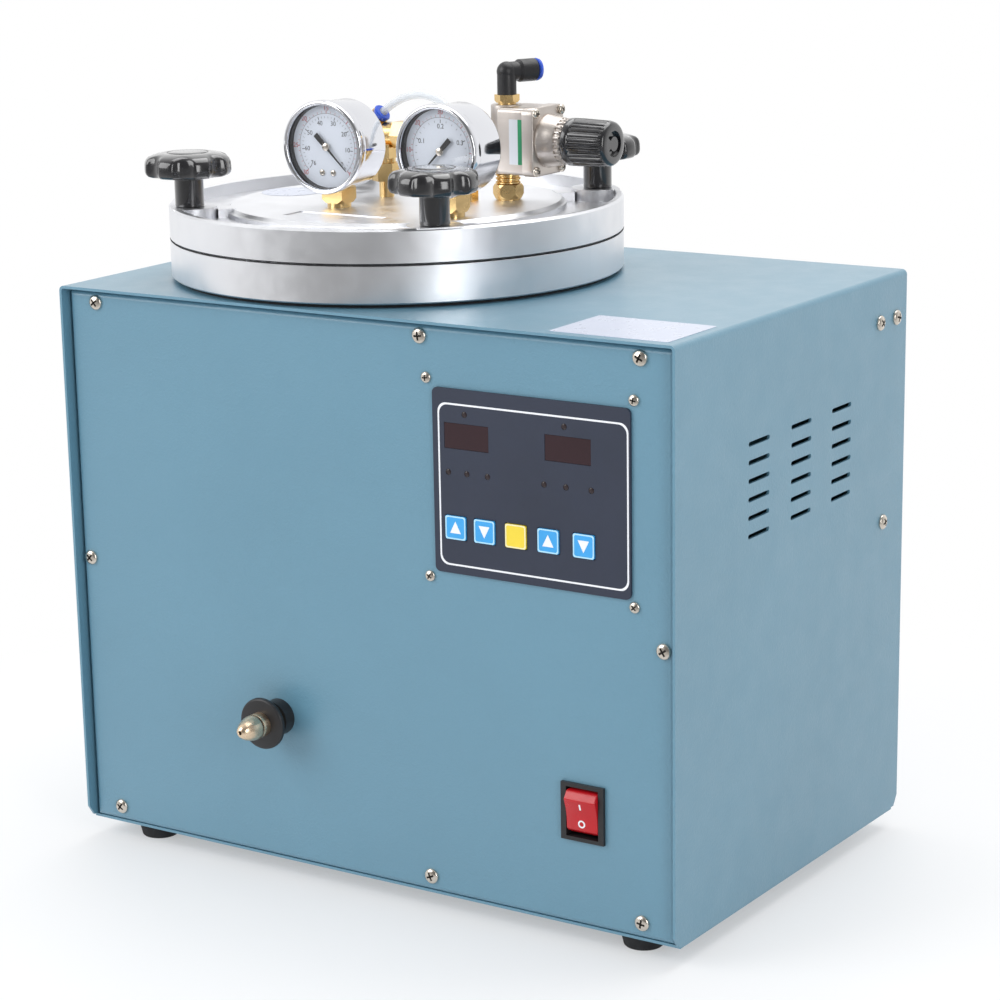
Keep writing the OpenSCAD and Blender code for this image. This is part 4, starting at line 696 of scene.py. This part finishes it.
def make_needles():
    """Both needles with their hubs, at the start of their scales."""
    needle_depth = 4.6
    needles = (("vacuum_pointer", "vacuum_needle", -135),
               ("pressure_pointer", "pressure_needle", 135))
    for number, (node, body, start) in enumerate(needles):
        at = gauge_frame(number) @ move(0, 0, -needle_depth) @ turn(start)
        needle = Shape(f"needle_{number + 1}")
        outline = [(-1.35, -9.2), (1.35, -9.2), (1.45, -8.9), (1.25, -2.2), (0.62, 0),
                   (0.16, 17.9), (0, 18.3), (-0.16, 17.9), (-0.62, 0), (-1.25, -2.2),
                   (-1.45, -8.9)]
        needle.plate(outline, 0, 0.5, LOOKS["pointer_black"], at)
        needle.revolve([(0, -0.3), (2.2, -0.3), (2.2, 0.4), (2.0, 0.7), (1.3, 0.95),
                        (0, 1.05)], LOOKS["screw_steel"], at, 40)
        needle.revolve([(0, -5.4), (0.9, -5.4), (0.9, -0.3), (0, -0.3)],
                       LOOKS["screw_steel"], at, 24)
        needle.finish(body, "pointer_black", [node])


# ---------- regulator ----------

def regulator_frame(ahead):
    """A frame on the regulator's axis, z to the right, that far from its body's own axis."""
    x, y = REGULATOR
    return place_at((x + ahead, y, joint_place("regulator_turn")[2]), (1, 0, 0), UP)


def make_regulator_body():
    """A round body with two blocks on its right side."""
    coat = LOOKS["taupe_zinc"]
    x0, y0 = REGULATOR
    low, high = REGULATOR_LOW, REGULATOR_HIGH
    body = Shape("regulator_casting")
    body.revolve([(0, low), (8.4, low), (8.9, low + 0.4), (9, low + 1), (9, low + 9.4),
                  (8.4, low + 10.4), (8.2, low + 11), (8.2, high - 11), (8.4, high - 10.4),
                  (9, high - 9.4), (9, high - 1), (8.9, high - 0.4), (8.4, high), (0, high)],
                 coat, move(x0, y0, 0))
    blocks = ((3, 20, 29, 36.5, 2.5), (19.5, BONNET_AT, 32, 37.5, 4))
    for x_from, x_to, wide, tall, r in blocks:
        at = place_at((x0 + x_from, y0, REGULATOR_MID), (1, 0, 0), UP)
        body.plate(round_outline(wide, tall, r), 0, x_to - x_from, coat, at, 0.8)
    body.finish("lid_assembly", "taupe_zinc", ["regulator_body"], 40)


def make_regulator_bonnet():
    """The bonnet with its toothed collar, and the four screws round it."""
    bonnet = Shape("regulator_cap")
    at = regulator_frame(BONNET_AT)
    teeth = 24

    def toothed(angle, r, z):
        up = 0.5 + 0.5 * math.tanh(4 * math.cos(angle * teeth))
        return (r + 0.9 * up if 10.4 < z < 13.4 and r > 10 else r, z)

    bonnet.revolve([(4.1, 0), (14.4, 0), (14.6, 0.4), (14.6, 1.3), (14.1, 2.3), (13.6, 6),
                    (12.9, 9.6), (12.7, 10.2), (11.7, 10.5), (11.7, 13.3), (11.2, 14.2),
                    (10.9, 14.5), (4.1, 14.5)],
                   LOOKS["taupe_zinc"], at, 240, toothed, loop=True)
    for side in (-1, 1):
        for level in (-1, 1):
            cross_screw(bonnet, at @ move(side * 13, level * 15.75, 0)
                        @ turn(33 * side + 20 * level), 2.8, 2.1, LOOKS["screw_steel"])
    bonnet.finish("lid_assembly", "taupe_zinc", ["regulator_bonnet"], 40)


def make_regulator_knob():
    """The ribbed knob, with a broken ring sunk in its end."""
    knob = Shape("regulator_grip")
    ribs, long = 28, 27

    def ribbed(angle, r, z):
        if r > 11 and 4.2 < z < long - 3:
            groove = 0.5 - 0.5 * math.tanh(3 * math.cos(angle * ribs) + 0.6)
            return r - 1.15 * groove, z
        if 3.9 < r < 7.1 and z > long - 1:
            gap = (angle - math.pi) % TAU
            inside = 0.55 < gap < TAU - 0.55 and 4.1 < r < 6.9
            return r, z - 2.2 if inside else z
        return r, z

    knob.revolve([(0, 16), (4.1, 16), (4.1, 0), (12.6, 0), (12.9, 0.4), (12.95, 1),
                  (12.95, 3), (12.7, 3.6), (12.1, 4.1), (12.9, 4.5), (13, 6), (12.8, 12),
                  (12.6, 18), (12.4, long - 3.6), (12.3, long - 3.1), (12.1, long - 2.2),
                  (11.8, long - 1.2), (11.1, long - 0.4), (10.2, long), (7.3, long),
                  (7.05, long), (6.85, long), (4.15, long), (3.95, long), (3, long), (0, long)],
                 LOOKS["black_plastic"], regulator_frame(GRIP_AT), 336, ribbed)
    knob.finish("regulator_handle", "black_plastic", ["regulator_knob"], 40)


def make_regulator_trim():
    """The blank label on the regulator's front, and the ringed nipple under it."""
    x0, y0 = REGULATOR
    label = Shape("regulator_label")
    front = place_at((x0 + 16.2, y0 - 14.5, REGULATOR_MID), FRONT, UP)
    label.plate(round_outline(5.6, 24.5, 0.3), 0.0, 0.16, FOIL, front @ move(-3.0, 0, 0))
    label.plate(round_outline(3.8, 24.5, 0.3), 0.0, 0.16, PRINT_GREEN, front @ move(1.7, 0, 0))
    label.finish("lid_assembly", "dial_white")
    rings = Shape("nipple_rings")
    bore, neck, crest = 5.0, 6.2, 7.0
    profile = [(bore, 369.5)]
    for z in (370.4, 372.5, 374.6):
        profile += [(neck, z), (crest, z + 0.4), (crest, z + 1.2), (neck, z + 1.6)]
    profile += [(neck, REGULATOR_LOW), (bore, REGULATOR_LOW)]
    rings.revolve(profile, LOOKS["brass"], move(x0, y0, 0), 64, loop=True)
    rings.finish("lid_assembly", "brass")


# ---------- tube and spring ----------

def swept(shape, path, r, look, sides=20, bore=None):
    """A rod, or a tube with a bore, along a path in mm."""
    path = [Vector(p) for p in path]
    tangents = [(path[min(i + 1, len(path) - 1)] - path[max(i - 1, 0)]).normalized()
                for i in range(len(path))]
    side = tangents[0].orthogonal().normalized()
    outer, inner = [], []
    for p, t in zip(path, tangents):
        side = (side - side.dot(t) * t).normalized()
        other = t.cross(side)
        for rings, radius in ((outer, r), (inner, bore)):
            if radius:
                rings.append([tuple(p + radius * (math.cos(TAU * k / sides) * side
                                                  + math.sin(TAU * k / sides) * other))
                              for k in range(sides)])
    if bore:
        shape.rings(outer + inner[::-1], look, loop=True)
    else:
        shape.rings(outer, look)


def make_clear_tube():
    """The air tube from the vent valve's collar to its socket, 6 mm into each."""
    tilt = math.radians(49)
    out = Vector((math.sin(tilt), 0, math.cos(tilt)))
    up = Vector((0, 0, 1))
    vent_end = Vector((POT[0] + VENT[0] - VENT_ARM, POT[1] + VENT[1], LID_MID + VENT_AXIS))
    stub, sunk = 15.5, 6
    mouth = vent_end + stub * out
    end = Vector((POT[0] + TUBE_SOCKET[0], POT[1] + TUBE_SOCKET[1], LID_MID + TUBE_SOCKET_TOP))
    pulls = mouth + 42 * out, end + 27 * up
    path = [mouth - sunk * out, mouth - sunk / 2 * out]
    steps = 60
    for i in range(steps + 1):
        t = i / steps
        path.append((1 - t) ** 3 * mouth + 3 * t * (1 - t) ** 2 * pulls[0]
                    + 3 * t * t * (1 - t) * pulls[1] + t ** 3 * end)
    path += [end - sunk / 2 * up, end - sunk * up]
    shape = Shape("clear_air_tube")
    swept(shape, path, 2.4, LOOKS["clear_tube"], 24, bore=1.5)
    piece = shape.finish("lid_assembly", "clear_tube", ["clear_tube"], 60)


def make_spring():
    """The nozzle's return spring at rest, on a mesh of its own."""
    x, z = NOZZLE
    start, seat, turns = -89.95, -67.05, 6
    coil, wire = 7.5, 0.72
    path = []
    steps = turns * 40
    for i in range(steps + 1):
        t = i / steps
        angle = TAU * turns * t
        path.append((x + coil * math.cos(angle), start + (seat - start) * t,
                     z + coil * math.sin(angle)))
    shape = Shape("nozzle_coil")
    swept(shape, path, wire, LOOKS["spring_steel"], 12)
    piece = shape.finish("cabinet", "spring_steel", ["nozzle_spring"], 60)
    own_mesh(piece)


# ---------- nozzle ----------

def make_nozzle():
    """The brass bullet and the guard disc behind it, from the disc's front face."""
    at = place_at((NOZZLE[0], -124.75, NOZZLE[1]), FRONT, UP)
    tip = Shape("nozzle_bullet")
    tip.revolve([(4.15, 0), (6.7, 0), (6.9, 0.25), (6.9, 5.2), (6.75, 5.5), (6.6, 5.55),
                 (6.75, 5.6), (6.9, 5.9), (6.9, 7.2), (6.7, 9), (6.25, 11), (5.5, 13.2),
                 (4.5, 15.3), (3.4, 17), (2.4, 18), (1.6, 18.4), (1.15, 18.5), (1.0, 18.3),
                 (1.0, 6.5), (4.15, 6.5)], NOZZLE_BRASS, at, 96, loop=True)
    tip.finish("nozzle", "brass", ["nozzle_tip"], 30)
    disc = Shape("nozzle_guard")
    disc.revolve([(4.15, 0), (13.0, 0), (13.8, -0.25), (14.2, -0.8), (14.3, -1.4), (14.3, -2.4),
                  (14.1, -2.8), (13.6, -3), (4.15, -3)][::-1], DULL_BLACK, at, 96, loop=True)
    disc.finish("nozzle", "black_plastic", ["nozzle_disc"], 40)


# ---------- controller, switch and plates ----------

def make_controller():
    """The fascia's border line and the keys' rims and triangles."""
    prints = Shape("fascia_line")
    frame_line(prints, 112.8, 85.4, 5, 0.95, 0.05, PRINT_WHITE,
               place_at((110.5, FASCIA_FRONT, 237.9), FRONT, UP))
    prints.finish("cabinet", "fascia_slate")
    triangle = [(-3.3, -2.9), (3.3, -2.9), (0, 3.4)]
    keys = (("key_up_left", 64.2, 0), ("key_down_left", 81.8, 180), ("key_start", 100.7, None),
            ("key_up_right", 120.1, 0), ("key_down_right", 141.0, 180))
    for name, x, degrees in keys:
        at = place_at((x, KEY_FRONT, KEY_LEVEL), FRONT, UP)
        piece = Shape(f"{name}_print")
        rim = PRINT_PALE if degrees is not None else PRINT_CREAM
        frame_line(piece, 12.3, 12.3, 1.3, 0.75, 0.04, rim, at)
        if degrees is not None:
            piece.plate(triangle, 0.0, 0.07, PRINT_WHITE, at @ turn(degrees))
        piece.finish(name, SLOT_OF[name])


def make_rocker():
    """The rocker and its two marks, tilted to its side at rest."""
    at = move(*joint_place("rocker_tilt")) @ turn(10, "X")
    rocker = Shape("rocker_cap")
    # (height, front): a face hollowed a little between its two ridges, and an end slope past each
    front = [(12, -1.6), (11.6, -2.3), (8.9, -4.9), (8.4, -5.15), (7.8, -5.1), (5, -4.75),
             (2.5, -4.45), (0, -4.35)]
    front = [(-z, y) for z, y in front[:-1]] + front[::-1]
    section = front + [(12, 2), (5, 5), (-5, 5), (-12, 2)]
    rings = []
    for x, inset in ((-9.3, 0.6), (-9.15, 0.25), (-8.8, 0), (8.8, 0), (9.15, 0.25), (9.3, 0.6)):
        rings.append([(x, y + inset if i < len(front) else y, z * (1 - inset / 12))
                      for i, (z, y) in enumerate(section)])
    rocker.rings(rings, LOOKS["rocker_red"], at)
    rocker.revolve([(0, -9.75), (2, -9.75), (2, 9.75), (0, 9.75)], LOOKS["rocker_red"],
                   at @ turn(90, "Y"), 32)
    mark_y, mark_z, slope = -4.76, 4.9, 0.12
    mark_low, mark_high = -0.1, 0.12
    rocker.plate(round_outline(0.9, 3.4, 0.3), mark_low, mark_high, PRINT_WHITE,
                 at @ place_at((0, mark_y, mark_z), (0, -1, -slope), UP))
    rocker.revolve([(1.3, mark_low), (2.1, mark_low), (2.1, mark_high), (1.3, mark_high)],
                   PRINT_WHITE, at @ place_at((0, mark_y, -mark_z), (0, -1, slope), UP), 40,
                   loop=True)
    rocker.finish("rocker", "rocker_red", ["switch_rocker"], 40)


def make_seam_shade():
    """A dark band on the flange's top outer edge, painted shade for the joint between the pot's flange and the
    lid.
    """
    # painted shade: a dark ring standing in for the shade in the joint; it borrows the gasket's dark look
    shade_ring = Shape("lid_seam_shade")
    inner, outer = FLANGE_R - 0.8, FLANGE_R + 0.02
    low, high = FLANGE_TOP - 0.35, FLANGE_TOP - 0.01
    shade_ring.revolve([(inner, low), (outer, low), (outer, high), (inner, high)],
                 LOOKS["gasket_black"], move(*POT, 0), 160, loop=True)
    shade_ring.finish("cabinet", "gasket_black")


def make_plates():
    """The blank plate on the cabinet and the blank sticker on the lid."""
    plates = Shape("blank_plates")
    corner = place_at((153.6, -82, COVER_TOP), UP, BACK)
    plates.plate(round_outline(68, 49, 1.5), 0.0, 0.18, PLATE_WHITE, corner)
    plates.finish("cabinet", "teal_coat")
    sticker = Shape("blank_sticker")
    sticker.revolve([(0, 0), (17, 0), (17.4, 0.06), (17.4, 0.16), (0, 0.16)], PLATE_WHITE,
                    move(-130, 17, LID_MID), 72)
    sticker.finish("lid_assembly", "cast_aluminium")


# ---------- the stage ----------

def make_floor():
    """A pale floor that keeps the object's shadow and fades into the backdrop."""
    half = 6.0
    s = Shader("floor", (0.88, 0.89, 0.91), 0.55)
    s.roughen(s.noise(4), 0.5, 0.6)
    # away from the object the floor is as white as the backdrop, and like it dim in front
    to_camera, mirrored = s.rays()
    away = s.node("ShaderNodeVectorMath", {0: s.place}, operation="LENGTH").outputs["Value"]
    share = s.calculate("MULTIPLY", s.spread(away, 0.4, 1, 0.2, 0.5),
                        s.calculate("MAXIMUM", to_camera, mirrored))
    strength = s.calculate("MAXIMUM", s.spread(s.behind(s.place), 0.4, 1.0, -0.9, 0.3), to_camera)
    white = s.node("ShaderNodeEmission", {"Strength": strength})
    mix = s.node("ShaderNodeMixShader", {
        "Fac": share, 1: s.surface.outputs[0], 2: white.outputs[0]})
    s.wire(mix.outputs[0], s.tree.nodes["Material Output"].inputs["Surface"])
    mesh = bpy.data.meshes.new("floor")
    mesh.from_pydata([(-half, -half, 0), (half, -half, 0), (half, half, 0), (-half, half, 0)], [],
                     [(0, 1, 2, 3)])
    mesh.materials.append(s.material)
    floor = bpy.data.objects.new("floor", mesh)
    bpy.context.scene.collection.objects.link(floor)


make_camera()
make_world()
make_floor()
softbox("key", (-1.15, -1.45, 1.25), (0, 0, 0.25), width=1.3, height=1.5, watts=21)
softbox("fill", (1.6, -0.95, 0.7), (0, 0, 0.25), width=0.5, height=1.2, watts=9)
softbox("top", (0.1, 0.5, 1.9), (0, 0, 0.3), width=1.8, height=1.4, watts=21)
bpy.context.scene.view_settings.view_transform = "Standard"

make_clear_tube()
make_spring()
make_screws()
make_star_knobs()
make_gauge_cases()
make_dials()
make_needles()
make_regulator_body()
make_regulator_bonnet()
make_regulator_knob()
make_regulator_trim()
make_nozzle()
make_controller()
make_rocker()
make_seam_shade()
make_plates()
